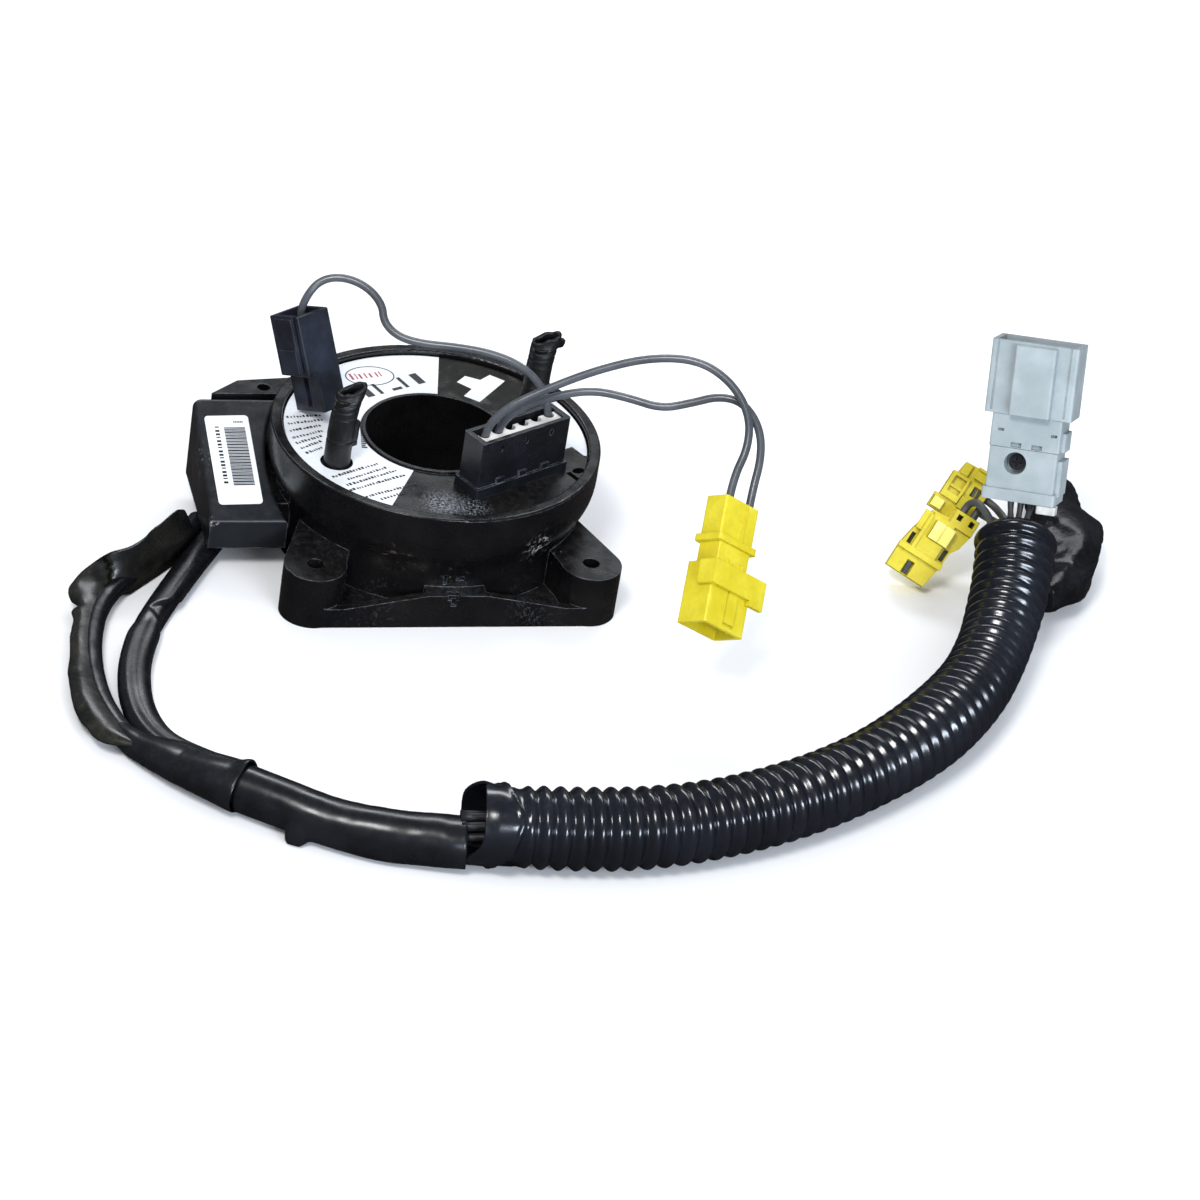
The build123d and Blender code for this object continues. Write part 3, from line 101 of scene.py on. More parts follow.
def plastic(name, dark, light, gloss=(0.36, 0.52), blotch=14.0, grain=0.5, relief=0.06, dust_and_sheen=0.0,
            dust_and_sheen_colour="8d8a84", edge="7d8084", wear_and_shading=0.35, corner=0.3, patches=(), ior=1.47):
    """Moulded plastic, film or rubber; lengths in millimetres.

    The base colour wanders between dark and light with a noise of the blotch size. Faces that look up
    take a second colour where a second noise lets them: dust, and on the outer film's edge also a painted
    sheen.
    Edges, where the normal of a rounded corner leaves the true one, take the edge colour where another
    noise lets them: wear on most parts, painted shade on the grey and yellow plugs, and partly a painted
    highlight on the side cover. Each patch (centre, reach, colour, grain, cover) is a scuff, but the side
    cover's near-white fleck is a painted highlight. Roughness wanders between the two gloss values, and a
    fine noise stands up by the relief.
    """
    made, tree = blank_material(name)
    place = node(tree, "TexCoord", "Object")
    broad = node(tree, "TexNoise", "Fac", **SEEDED, Vector=place, Scale=1000 / blotch, Detail=4.0,
                 Roughness=0.55, W=1.0)
    tone = node(tree, "MapRange", "Result", **SMOOTH, Value=broad, From_Min=0.35, From_Max=0.68)
    colour = node(tree, "Mix", 2, **COLOURS, in0=tone, in6=hex_colour(dark), in7=hex_colour(light))
    normal = node(tree, "NewGeometry", "Normal")
    if dust_and_sheen:
        up = node(tree, "SeparateXYZ", "Z", Vector=normal)
        level = node(tree, "MapRange", "Result", **SMOOTH, Value=up, From_Min=0.1, From_Max=0.95)
        specks = node(tree, "TexNoise", "Fac", **SEEDED, Vector=place, Scale=1000 / 2.2, Detail=6.0,
                      Roughness=0.7, W=3.0)
        speck = node(tree, "MapRange", "Result", **SMOOTH, Value=specks, From_Min=0.42, From_Max=0.72)
        dust_and_sheen_share = node(tree, "Math", 0, operation="MULTIPLY", in0=level, in1=speck)
        dust_and_sheen_share = node(tree, "Math", 0, operation="MULTIPLY", in0=dust_and_sheen_share, in1=dust_and_sheen)
        colour = node(tree, "Mix", 2, **COLOURS, in0=dust_and_sheen_share, in6=colour, in7=hex_colour(dust_and_sheen_colour))
    for index, (centre, reach, tint, size, cover) in enumerate(patches):
        specks = node(tree, "TexNoise", "Fac", **SEEDED, Vector=place, Scale=1000 / size, Detail=7.0,
                      Roughness=0.72, W=11.0 + index)
        broken = node(tree, "MapRange", "Result", **SMOOTH, Value=specks, From_Min=1.0 - cover,
                      From_Max=1.08 - cover)
        away = node(tree, "VectorMath", "Value", operation="DISTANCE", in0=place,
                    in1=[v * MM for v in centre])
        close = node(tree, "MapRange", "Result", **SMOOTH, Value=away, From_Min=reach * MM,
                     From_Max=0.15 * reach * MM)
        there = node(tree, "Math", 0, operation="MULTIPLY", in0=close, in1=broken)
        colour = node(tree, "Mix", 2, **COLOURS, in0=there, in6=colour, in7=hex_colour(tint))
    rounded = node(tree, "Bevel", 0, samples=4, Radius=corner * MM)
    if wear_and_shading:
        facing = node(tree, "VectorMath", "Value", operation="DOT_PRODUCT", in0=rounded, in1=normal)
        bent = node(tree, "MapRange", "Result", **SMOOTH, Value=facing, From_Min=0.985, From_Max=0.9)
        edge_noise = node(tree, "TexNoise", "Fac", **SEEDED, Vector=place, Scale=1000 / 3.0, Detail=5.0,
                       Roughness=0.55, W=5.0)
        edge_breakup = node(tree, "MapRange", "Result", **SMOOTH, Value=edge_noise, From_Min=0.35, From_Max=0.7)
        edge_share = node(tree, "Math", 0, operation="MULTIPLY", in0=bent, in1=edge_breakup)
        edge_share = node(tree, "Math", 0, operation="MULTIPLY", in0=edge_share, in1=wear_and_shading)
        colour = node(tree, "Mix", 2, **COLOURS, in0=edge_share, in6=colour, in7=hex_colour(edge))
    smears = node(tree, "TexNoise", "Fac", **SEEDED, Vector=place, Scale=1000 / 7.0, Detail=5.0,
                  Roughness=0.55, W=7.0)
    rough = node(tree, "MapRange", "Result", Value=smears, From_Min=0.3, From_Max=0.7,
                 To_Min=gloss[0], To_Max=gloss[1])
    fine = node(tree, "TexNoise", "Fac", **SEEDED, Vector=place, Scale=1000 / grain, Detail=2.0,
                Roughness=0.55, W=2.0)
    bump = node(tree, "Bump", 0, Height=fine, Distance=relief * MM, Strength=0.6, Normal=rounded)
    shader = node(tree, "BsdfPrincipled", 0, Base_Color=colour, Roughness=rough, IOR=ior, Normal=bump)
    node(tree, "OutputMaterial", Surface=shader)
    return made


def paint(material, *names):
    """The material on CAD nodes, in place of the one they came with."""
    for name in names:
        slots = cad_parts[name].data.materials
        slots.clear()
        slots.append(material)


# each scuff: centre, reach, colour, size of its flecks, share covered
SCUFFS = [((24, -40.5, 23), 8, "b4b3ad", 2.8, 0.48), ((31, -35, 18), 9, "6f6b64", 2.2, 0.42),
          ((-18, -42, 21), 9, "4f473c", 2.6, 0.46), ((-2, -46, 14), 8, "7c766c", 1.8, 0.43),
          ((-25, -46, 5), 15, "2e3033", 1.1, 0.46), ((24, -47, 5), 13, "36383b", 1.1, 0.47),
          ((-38, -31, 17), 12, "2c2e32", 1.1, 0.45), ((-41, -41, 16), 6, "2c2e32", 1.0, 0.43)]
# moulded glass-filled PBT: near black, half gloss, with corners rubbed pale and dust on its ledges
# the lighter of its two tones is warm brown: a painted reflection of a brown surface, mixed in at random
housing_pbt = plastic("glass_filled_pbt_black", "0a0a0c", "161414", gloss=(0.17, 0.34), blotch=22,
                      grain=0.7, relief=0.05, dust_and_sheen=0.25, dust_and_sheen_colour="4c4b4a", edge="8b919a", wear_and_shading=0.75,
                      corner=0.35, patches=SCUFFS)
paint(housing_pbt, "stator_housing", "bottom_cover")

# ---- Side case, its cover and the contacts in it
# The box on the drum's side where the wound ribbon ends: a PBT tray moulded like the drum, and a
# sloped ABS cover clipped over it. The harness wires meet the ribbon on tinned brass contacts.
paint(housing_pbt, "side_case")
# moulded ABS: dark blue-grey with a soft sheen; its long edges paler, partly rubbed, partly a painted
# highlight
# the near-white fleck at the cover's front lower corner is a painted highlight; the brownish grey one is a
# scuff
COVER_SCUFF_AND_HIGHLIGHT = [((-69, -19.5, 16), 2.5, "c4c6c8", 1.2, 0.48), ((-70, 4, 22), 10, "8a857b", 1.2, 0.43)]
cover_abs = plastic("moulded_abs_charcoal", "17191c", "212428", gloss=(0.26, 0.4), blotch=20, grain=0.5,
                    relief=0.05, dust_and_sheen=0.2, dust_and_sheen_colour="4c4c4c", edge="9aa3ad", wear_and_shading=0.85, corner=0.6,
                    patches=COVER_SCUFF_AND_HIGHLIGHT)
paint(cover_abs, "side_cover")


def metal(name, colour, rough=0.3):
    """Plated metal: its tone drops to six tenths in broad patches, and fine marks roughen it."""
    made, tree = blank_material(name)
    place = node(tree, "TexCoord", "Object")
    broad = node(tree, "TexNoise", "Fac", **SEEDED, Vector=place, Scale=1000 / 2.5, Detail=4.0,
                 Roughness=0.55, W=1.0)
    tone = node(tree, "MapRange", "Result", **SMOOTH, Value=broad, From_Min=0.3, From_Max=0.75)
    darker = [0.6 * v for v in hex_colour(colour)[:3]] + [1.0]
    shade = node(tree, "Mix", 2, **COLOURS, in0=tone, in6=darker, in7=hex_colour(colour))
    marks = node(tree, "TexNoise", "Fac", **SEEDED, Vector=place, Scale=1000 / 0.8, Detail=4.0,
                 Roughness=0.55, W=2.0)
    rub = node(tree, "MapRange", "Result", Value=marks, To_Min=rough - 0.1, To_Max=rough + 0.15)
    shader = node(tree, "BsdfPrincipled", 0, Base_Color=shade, Roughness=rub, Metallic=1.0)
    node(tree, "OutputMaterial", Surface=shader)
    return made


# tinned brass: pale, warm, bright where it catches a lamp
tinned_brass = metal("tinned_brass", "c9c9c4")
paint(tinned_brass, "case_terminals")

# ---- Side label
# A coated paper label stuck on the case's cover, printed in black. Plain stripes of four widths and
# two rows of small blocks stand for its print; each is a thin plate just over the paper.
# coated paper: bright and faintly blue, a little shiny
label_paper = plastic("coated_label_paper", "f1f5f8", "e4e9ee", gloss=(0.3, 0.42), blotch=10, wear_and_shading=0.0,
                      relief=0.02, dust_and_sheen=0.1, corner=0.05)
paint(label_paper, "side_label")
# screen ink: flat soft black
ink_black = plastic("screen_ink_black", "17171a", "222226", gloss=(0.35, 0.5), wear_and_shading=0.0, corner=0.02)
LABEL_RIGHT = np.array([0.9995, 0.030, 0.010])
LABEL_DOWN = np.array([0.0315, -0.942, -0.334])
LABEL_OUT = np.array([0.0006, -0.334, 0.942])
LABEL_HALF = (6.65, 16.75)
LABEL_CORNER = np.array([-60.40, 1.58, 25.05]) - LABEL_HALF[0] * LABEL_RIGHT - LABEL_HALF[1] * LABEL_DOWN
INK_LIFT, INK_THICK = 0.01, 0.05


def linked(name, data):
    """A new object for the data, put into the scene."""
    thing = bpy.data.objects.new(name, data)
    scene.collection.objects.link(thing)
    return thing


def piece(name, body, material, points, faces, slot=None, smooth=True):
    """A mesh piece from points in millimetres that rides on a body; its faces are turned outwards."""
    mesh = bpy.data.meshes.new(name)
    mesh.from_pydata((np.asarray(points, float) * MM).tolist(), [], faces)
    mesh.polygons.foreach_set("use_smooth", [smooth] * len(mesh.polygons))
    mesh.materials.append(material)
    mesh.validate()
    shell = bmesh.new()
    shell.from_mesh(mesh)
    bmesh.ops.recalc_face_normals(shell, faces=shell.faces)
    shell.to_mesh(mesh)
    shell.free()
    made = linked(name, mesh)
    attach(made, body)
    return made


def joined(parts):
    """Several (points, faces) as one."""
    points, faces = [], []
    for new_points, new_faces in parts:
        faces += [[v + len(points) for v in face] for face in new_faces]
        points += list(new_points)
    return points, faces


def label_mark(right, down, wide, tall):
    """Points and faces of a thin bar on the side label, placed from its back left corner."""
    spots = []
    for lift in (INK_LIFT, INK_LIFT + INK_THICK):
        for u, v in ((right, down), (right + wide, down), (right + wide, down + tall), (right, down + tall)):
            spots.append(tuple(LABEL_CORNER + u * LABEL_RIGHT + v * LABEL_DOWN + lift * LABEL_OUT))
    return spots, [[0, 1, 2, 3], [7, 6, 5, 4], [0, 4, 5, 1], [1, 5, 6, 2], [2, 6, 7, 3], [3, 7, 4, 0]]


STRIPE_WIDTHS = (0.24, 0.42, 0.24, 0.56)
STRIPE_GAP = 0.22
side_marks, down = [], 4.6
for n in range(38):
    side_marks.append(label_mark(5.4, down, 6.4, STRIPE_WIDTHS[n % 4]))
    down += STRIPE_WIDTHS[n % 4] + STRIPE_GAP
for n in range(17):
    side_marks.append(label_mark(2.6, 4.2 + 1.3 * n, 1.3, 0.75 if n % 3 else 0.4))
for n in range(6):
    side_marks.append(label_mark(8.6 + 0.5 * n, 2.2, 0.3, 0.7))
piece("side_label_stripes", "housing", ink_black, *joined(side_marks), "label_paper", smooth=False)

# ---- Film sleeves of the harness
# Black PVC film pulled over the wires between the side case and the conduit. The outer sleeve is slit,
# so its edge stands up beside the wires; the inner one is a tube; a wrap joins both into the trunk.


def lattice(x, y, z, seed):
    """Smooth random values between -1 and 1 at points in space, the same on every run.

    Each lattice corner gets a hashed value, and the eight round a point are mixed with 3t^2 - 2t^3.
    """
    base = [np.floor(v).astype(np.int64) for v in (x, y, z)]
    part = [v - b for v, b in zip((x, y, z), base)]
    ease = [p * p * (3 - 2 * p) for p in part]
    total = 0.0
    for corner in range(8):
        offset = [(corner >> i) & 1 for i in range(3)]
        mixed = sum((b + s) * m for b, s, m in zip(base, offset, (374761393, 668265263, 214748357)))
        mixed = (mixed + seed * 97463477) & 0xFFFFFFFF
        mixed = ((mixed ^ (mixed >> 13)) * 1274126177) & 0xFFFFFFFF
        value = ((mixed ^ (mixed >> 16)) & 0xFFFF) / 32767.5 - 1
        weight = 1.0
        for e, s in zip(ease, offset):
            weight = weight * (e if s else 1 - e)
        total = total + weight * value
    return total


def crumple(points, size, seed, octaves=3):
    """Creased noise at points in millimetres: octaves of the lattice, each folded to sharp ridges."""
    total, high, scale = 0.0, 1.0, size
    for octave in range(octaves):
        x, y, z = (points[..., i] / scale for i in range(3))
        total = total + high * (1 - 2 * np.abs(lattice(x, y, z, seed + octave)))
        high, scale = high * 0.5, scale * 0.5
    return total / 1.75


def step(value, low, high):
    """A smooth step in numpy: 0 at low, 1 at high."""
    t = np.clip((value - low) / (high - low), 0, 1)
    return t * t * (3 - 2 * t)


def cord_curve(name, points, radius=0.0):
    """A curve object of one NURBS spline of order 3 whose points are in millimetres."""
    curve = bpy.data.curves.new(name, "CURVE")
    curve.dimensions = "3D"
    curve.resolution_u = 16
    curve.bevel_depth = radius * MM
    curve.bevel_resolution = 5
    curve.use_fill_caps = radius > 0
    spline = curve.splines.new("NURBS")
    spline.points.add(len(points) - 1)
    for point, spot in zip(spline.points, points):
        point.co = (spot[0] * MM, spot[1] * MM, spot[2] * MM, 1.0)
    spline.order_u = 3
    spline.use_endpoint_u = True
    return linked(name, curve)


def cord_line(name, points, spacing):
    """Evenly spaced points in millimetres along a cord's NURBS line, with its length."""
    carrier = cord_curve(name, points)
    mesh = bpy.data.meshes.new_from_object(carrier)
    line = np.array([v.co[:] for v in mesh.vertices]) / MM
    bpy.data.objects.remove(carrier)
    bpy.data.meshes.remove(mesh)
    run = np.concatenate([[0], np.cumsum(np.linalg.norm(np.diff(line, axis=0), axis=1))])
    marks = np.linspace(0, run[-1], int(run[-1] / spacing) + 2)
    return np.stack([np.interp(marks, run, line[:, i]) for i in range(3)], axis=1), marks


def skin(line, across, above):
    """A grid of rings round a line: each ring's points lie across and above it by the given amounts.

    Across is the level direction square to the line, above is square to both; nothing dips under
    the floor.
    """
    ahead = np.gradient(line, axis=0)
    ahead = ahead / np.linalg.norm(ahead, axis=1, keepdims=True)
    side = np.cross(ahead, (0.0, 0.0, 1.0))
    side = side / np.linalg.norm(side, axis=1, keepdims=True)
    top = np.cross(side, ahead)
    grid = line[:, None, :] + across[..., None] * side[:, None, :] + above[..., None] * top[:, None, :]
    grid[..., 2] = np.maximum(grid[..., 2], 0.03)
    return grid


def wrapped(grid, inner=None):
    """Points and faces of a closed tube from rings; an inner grid makes it hollow, else its ends are flat.

    A face joins two neighbours of one ring with the same two of the next, and the last closes the ring.
    """
    rows, around = grid.shape[:2]
    points = grid.reshape(-1, 3)
    i, j = np.meshgrid(np.arange(rows - 1), np.arange(around), indexing="ij")
    k = (j + 1) % around
    quads = np.stack([i * around + j, i * around + k, (i + 1) * around + k, (i + 1) * around + j], -1)
    faces = quads.reshape(-1, 4).tolist()
    if inner is None:
        faces.append(list(range(around))[::-1])
        faces.append([(rows - 1) * around + n for n in range(around)])
        return points, faces
    shift = rows * around
    points = np.concatenate([points, inner.reshape(-1, 3)])
    faces += (quads.reshape(-1, 4)[:, ::-1] + shift).tolist()
    for n in range(around):
        m = (n + 1) % around
        last = (rows - 1) * around
        faces.append([n, n + shift, m + shift, m])
        faces.append([last + n, last + m, last + m + shift, last + n + shift])
    return points, faces


# the angles round every sleeve and tube, as one row
TURN = np.linspace(0, 2 * math.pi, 48, endpoint=False)[None, :]
OUTER_ROUTE = [(-69.7, 0.6, 4.0), (-76.8, -10.6, 3.9), (-87.4, -21.8, 3.6), (-97.2, -31.4, 3.6),
               (-104.6, -43.0, 3.6), (-109.0, -58.4, 3.6), (-110.9, -76.4, 3.6), (-110.0, -93.0, 3.6),
               (-105.6, -108.0, 3.6), (-97.6, -121.4, 4.4), (-87.6, -133.7, 7.1), (-78.8, -140.3, 7.1)]
INNER_ROUTE = [(-63.4, -3.9, 4.1), (-67.8, -12.0, 3.9), (-74.9, -23.4, 3.6), (-82.2, -36.4, 3.6),
               (-90.2, -51.6, 3.6), (-96.4, -66.8, 3.6), (-99.8, -83.0, 3.6), (-99.9, -98.0, 3.6),
               (-96.6, -110.2, 4.0), (-90.4, -119.4, 5.2), (-81.3, -129.4, 7.1), (-74.4, -134.5, 7.1)]
TRUNK_ROUTE = [(-76.6, -137.4, 7.1), (-68.3, -143.6, 7.1), (-56.6, -151.4, 7.1),
               (-44.8, -157.4, 7.1), (-33.2, -161.2, 7.4), (-19.6, -163.6, 8.2)]
SLEEVE_STEP = 0.8
TRUNK_RADIUS, TRUNK_WALL = 7.0, 0.7
# calendered PVC film: black and glossy, with broad soft ripples and a little dust
film_pvc = plastic("calendered_pvc_film_black", "0c0d10", "16181d", gloss=(0.2, 0.32), blotch=16, grain=3.0,
                   relief=0.04, dust_and_sheen=0.1, dust_and_sheen_colour="4c4a46", edge="4a4d52", wear_and_shading=0.0, ior=1.52)


def sleeve(name, route, stands_for, shape, wall=0.0):
    """A film sleeve: shape gives each ring's across and above amounts from run and whole length.

    A wall makes it hollow: the inner rings are the outer ones drawn in by wall over radius.
    """
    line, run = cord_line(name + "_path", route, SLEEVE_STEP)
    across, above = shape(run[:, None], run[-1])
    inner = None
    if wall:
        drawn_in = 1 - wall / TRUNK_RADIUS
        inner = skin(line, across * drawn_in, above * drawn_in)
    made = piece(name, "housing", film_pvc, *wrapped(skin(line, across, above), inner), "sleeve_black")
    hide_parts(stands_for)
    return made, line, run


def core_shape(s, long):
    """The bundle of wires under the film: round, hardly uneven."""
    rough = np.stack(np.broadcast_arrays(s * 1.0, 3.5 * np.cos(TURN), 3.5 * np.sin(TURN)), -1)
    ripple = 1 + 0.03 * crumple(rough, 9, 31)
    return (3.05 * np.cos(TURN) - 0.4) * ripple, 3.0 * np.sin(TURN) * ripple


def inner_shape(s, long):
    """An oval film tube; a facet folded in at the kink, past which it lies in two lobes."""
    past = step(s, 52, 60)
    rough = np.stack(np.broadcast_arrays(s * 1.0, 4.0 * np.cos(TURN), 4.0 * np.sin(TURN)), -1)
    swell = 0.06 * past * lattice(s / 15, 0.8 * np.cos(TURN), 0.8 * np.sin(TURN), 41)
    ripple = 1 + swell + 0.01 * crumple(rough, 14, 43, 2)
    side = np.angle(np.exp(1j * (TURN - 2.1)))
    ridge, valley = 52.0 - 5.0 * (side + 1.0), 52.6 + 3.6 * (side + 1.0)
    facet = step(s - ridge, 0, 1.4) * (1 - step(s - valley, -0.6, 1.2))
    facet = facet * step(side, -1.1, -0.7) * (1 - step(side, 1.2, 1.8))
    groove = np.exp(-(np.angle(np.exp(1j * (TURN - 1.5))) / 0.4) ** 2) * past * 0.2
    wide = 4.3 + 0.4 * past - 0.5 * np.exp(-((s - 59) / 3.0) ** 2)
    scale = 1 - facet * (0.16 + 0.1 * (side + 1.0)) - groove
    return wide * np.cos(TURN) * ripple * scale, 3.5 * np.sin(TURN) * ripple * scale


def trunk_shape(s, long):
    """A round film sleeve, a little crushed, with a torn flap on its lower edge and a cut end."""
    rough = np.stack(np.broadcast_arrays(s * 1.0, 7.0 * np.cos(TURN), 7.0 * np.sin(TURN)), -1)
    ripple = 1 + 0.035 * crumple(rough, 16, 51) + 0.015 * crumple(rough, 6, 53)
    near = np.exp(-(np.angle(np.exp(1j * (TURN + 0.75))) / 0.5) ** 2)
    flap = near * (1.1 * step(s, 15.5, 17.0) + 2.3 * step(s, 16.0, 17.0) * (1 - step(s, 20.5, 23.0)))
    wide = 6.6 + 0.9 * step(s, long - 16, long)
    high = 6.7 - 0.7 * np.exp(-((s - 26) / 10) ** 2)
    sag = -0.9 * step(s, long - 10, long) * (np.sin(TURN) > 0) * np.sin(TURN)
    across = wide * np.cos(TURN) * ripple + flap * np.cos(TURN)
    return across, high * np.sin(TURN) * np.minimum(ripple, 1.02) + sag + flap * np.sin(TURN)


outer_sleeve, outer_line, outer_run = sleeve("outer_film_core", OUTER_ROUTE, "sleeve_outer", core_shape)

# the outer film's free edge: near the case it stands upright before the core, past the bend it
# leans over and ends in a torn edge; its height and its lean are functions of the run
FILM_THICK = 0.2
film_rows = outer_run[:, None]
film_columns = np.linspace(0, 1, 26)[None, :]
film_open = step(film_rows, 4, 16) * (1 - step(film_rows, outer_run[-1] - 44, outer_run[-1] - 28))
film_tall = np.interp(film_rows, [0, 10, 20, 34, 44, 54, 60, 68, 84, 100, 114, 126, 150],
                      [8.0, 14.0, 18.5, 18.0, 13.5, 8.0, 6.4, 5.2, 5.6, 7.4, 9.0, 8.0, 3.0])
film_reach = film_open * (film_tall + 0.5 * lattice(film_rows / 12, film_rows * 0, film_rows * 0, 21)
                          + 0.35 * lattice(film_rows / 4, film_rows * 0, film_rows * 0, 22))
film_reach = film_reach + 1.6 * np.exp(-((film_rows - 56) / 3.0) ** 2)
film_reach = film_reach - 1.8 * np.exp(-((film_rows - 61.5) / 1.2) ** 2)
film_lean = np.radians(88 - 74 * step(film_rows, 34, 62))
film_foot = 1 - step(film_rows, 40, 58)
film_out = np.maximum(film_reach, 0.4) * film_columns
curl = film_lean - 0.5 * film_columns ** 2 * step(film_rows, 40, 62)
film_rough = np.stack(np.broadcast_arrays(film_rows * 1.0, film_out * 1.0, 0 * film_out), -1)
wave = film_columns * film_open * (1.0 * lattice(film_rows / 17, film_out / 12, film_out * 0, 23)
                                   + 0.35 * crumple(film_rough, 13, 24))
film_across = 0.6 - 4.2 * film_foot + film_out * np.cos(curl) + wave * np.sin(curl)
film_high = np.maximum(2.6 - 5.7 * film_foot + film_out * np.sin(curl) - wave * np.cos(curl), -3.2)
film_top = skin(outer_line, film_across, film_high + FILM_THICK / 2)
film_under = skin(outer_line, film_across - 0.18 * np.sin(curl), film_high - FILM_THICK / 2)
film_grid = np.concatenate([film_top, film_under[:, ::-1]], axis=1)
# the same film, browner and duller, paler on faces that look up: a painted sheen of grazing light, with dust
film_pvc_sheen_and_dust = plastic("calendered_pvc_film_sheen_and_dust", "121211", "24231f", gloss=(0.2, 0.34), blotch=9,
                         grain=2.5, relief=0.06, dust_and_sheen=0.4, dust_and_sheen_colour="45423a", wear_and_shading=0.0, ior=1.5)
film_edge = piece("outer_film_edge", "housing", film_pvc_sheen_and_dust, *wrapped(film_grid), "sleeve_black")

inner_sleeve, inner_line, inner_run = sleeve("inner_film_sleeve", INNER_ROUTE, "sleeve_inner", inner_shape)
trunk = sleeve("trunk_film_sleeve", TRUNK_ROUTE, "trunk_sleeve", trunk_shape, wall=TRUNK_WALL)[0]

# the joint wrap: an oval tube whose line drifts from the outer sleeve to midway between the two, and
# which widens with their distance
OUTER_TAIL, INNER_TAIL = 48.0, 43.0
meet_rows = np.linspace(0, 1, 80)
outer_marks = outer_run[-1] - OUTER_TAIL * (1 - meet_rows)
inner_marks = inner_run[-1] - INNER_TAIL * (1 - meet_rows)
outer_tail = np.stack([np.interp(outer_marks, outer_run, outer_line[:, i]) for i in range(3)], 1)
inner_tail = np.stack([np.interp(inner_marks, inner_run, inner_line[:, i]) for i in range(3)], 1)
s = meet_rows[:, None]
share = step(s, 0.12, 0.6)
meet_line = outer_tail + 0.5 * share * (inner_tail - outer_tail)
meet_line[:, 2] = np.maximum(meet_line[:, 2], 3.6 + 2.0 * share[:, 0])
apart = np.linalg.norm(outer_tail - inner_tail, axis=1)[:, None] / 2
meet_rough = np.stack(np.broadcast_arrays(s * OUTER_TAIL, 8 * np.cos(TURN), 6 * np.sin(TURN)), -1)
meet_ripple = 1 + 0.025 * crumple(meet_rough, 15, 91)
grown = step(s, 0.0, 0.2)
meet_wide = (2.9 + 1.0 * grown + share * (apart + 0.3) + 0.4 * step(s, 0.85, 1.0)) * meet_ripple
meet_high = 2.8 + 0.8 * grown + 1.0 * share + 2.0 * step(s, 0.55, 1.0)
meet_high = meet_high + 1.9 * np.exp(-((TURN - 1.9) / 0.6) ** 2) * step(s, 0.9, 1.0)
meet_across, meet_above = meet_wide * np.cos(TURN), meet_high * np.sin(TURN)
meet_grid = skin(meet_line, meet_across, meet_above)
meet_inner = skin(meet_line, 0.94 * meet_across, 0.93 * meet_above)
meet_wrap = piece("sleeve_joint_wrap", "housing", film_pvc, *wrapped(meet_grid, meet_inner), "sleeve_black")


# ---- Corrugated conduit and the wires in it
# Black polypropylene tube, blow moulded with a rib every 4.8 mm. It is torn off plain at one end and
# flares over the column plug at the other; its slit is closed. Nine PVC wires run loose inside.
CONDUIT_ROUTE = [(-20.0, -160.6, 11.6), (13.0, -166.0, 11.6), (50.0, -162.6, 11.6),
                 (86.6, -149.2, 11.6), (119.2, -128.2, 11.6), (143.4, -104.2, 11.6),
                 (157.2, -83.0, 12.2), (165.2, -67.0, 14.8), (171.4, -53.8, 19.4),
                 (175.0, -41.6, 25.2)]
RIB_PITCH = 4.8
CONDUIT_RADIUS, CONDUIT_WALL, RIB_DEPTH = 11.45, 0.9, 1.6
CREASE_BEARING = 0.68
conduit_line, conduit_run = cord_line("conduit_path", CONDUIT_ROUTE, 0.45)
s = conduit_run[:, None]
conduit_long = conduit_run[-1]
# the radius is a crest that grows to the mouth, less the ribs' cosine wave, which the torn end lacks
ribbed = step(s, 13.5, 18.0)
ring_wander = lattice(s / 23, s * 0, s * 0, 3)
wave = 0.5 - 0.5 * np.cos(2 * math.pi * (s + 0.35 * ring_wander) / RIB_PITCH)
mouth_swell = 1.0 * step(s, 205, conduit_long - 6) + 0.7 * step(s, conduit_long - 5, conduit_long)
radius = CONDUIT_RADIUS + mouth_swell - RIB_DEPTH * ribbed * (1 - wave ** 0.7) + 0 * TURN
radius = radius * (1 + 0.03 * lattice(s / 40, s * 0 + 1, s * 0, 9))
# two creases meet in a point on the side that faces forward and up; past them the wall dips
arrow = 4.7 * np.abs(np.angle(np.exp(1j * (TURN - CREASE_BEARING))))
past = s - 15.2 + arrow
dent = (1 - ribbed) * (arrow < 8.5)
radius = radius + 0.7 * np.exp(-(past / 0.6) ** 2) * dent - 1.5 * step(past, 0.2, 2.2) * dent
torn = (1 - ribbed) * lattice(s / 6, 1.6 * np.cos(TURN), 1.6 * np.sin(TURN), 5)
radius = radius + 0.45 * torn
conduit_grid = skin(conduit_line, radius * np.cos(TURN), radius * np.sin(TURN))
bore_radius = radius - CONDUIT_WALL
conduit_inner = skin(conduit_line, bore_radius * np.cos(TURN), bore_radius * np.sin(TURN))
# the mouth is cut back on its near side, which leaves the dark bore in view
cut = 4.8 * step(np.cos(TURN - 1.15), -0.25, 0.7) * np.clip(1 - s / 14, 0, 1)
cut = cut + 0.5 * torn * np.clip(1 - s / 5, 0, 1)
mouth_ahead = conduit_line[30] - conduit_line[0]
mouth_ahead = mouth_ahead / np.linalg.norm(mouth_ahead)
conduit_grid = conduit_grid + cut[..., None] * mouth_ahead
conduit_inner = conduit_inner + cut[..., None] * mouth_ahead
# blow-moulded polypropylene: black with a waxy gloss that draws a bright line on every rib
conduit_pp = plastic("blow_moulded_polypropylene_black", "0f1116", "1a1d24", gloss=(0.13, 0.24), blotch=30,
                     relief=0.02, dust_and_sheen=0.12, dust_and_sheen_colour="55565a", edge="3c4046", wear_and_shading=0.0, corner=0.2, ior=1.6)
conduit = piece("conduit", "housing", conduit_pp, *wrapped(conduit_grid, conduit_inner), "conduit_black")
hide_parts("split_conduit")

# the loom: one wire in the middle and eight in a slow twist round it
LOOM_RADIUS, LOOM_REACH, LOOM_TWIST = 1.35, 3.9, 90.0
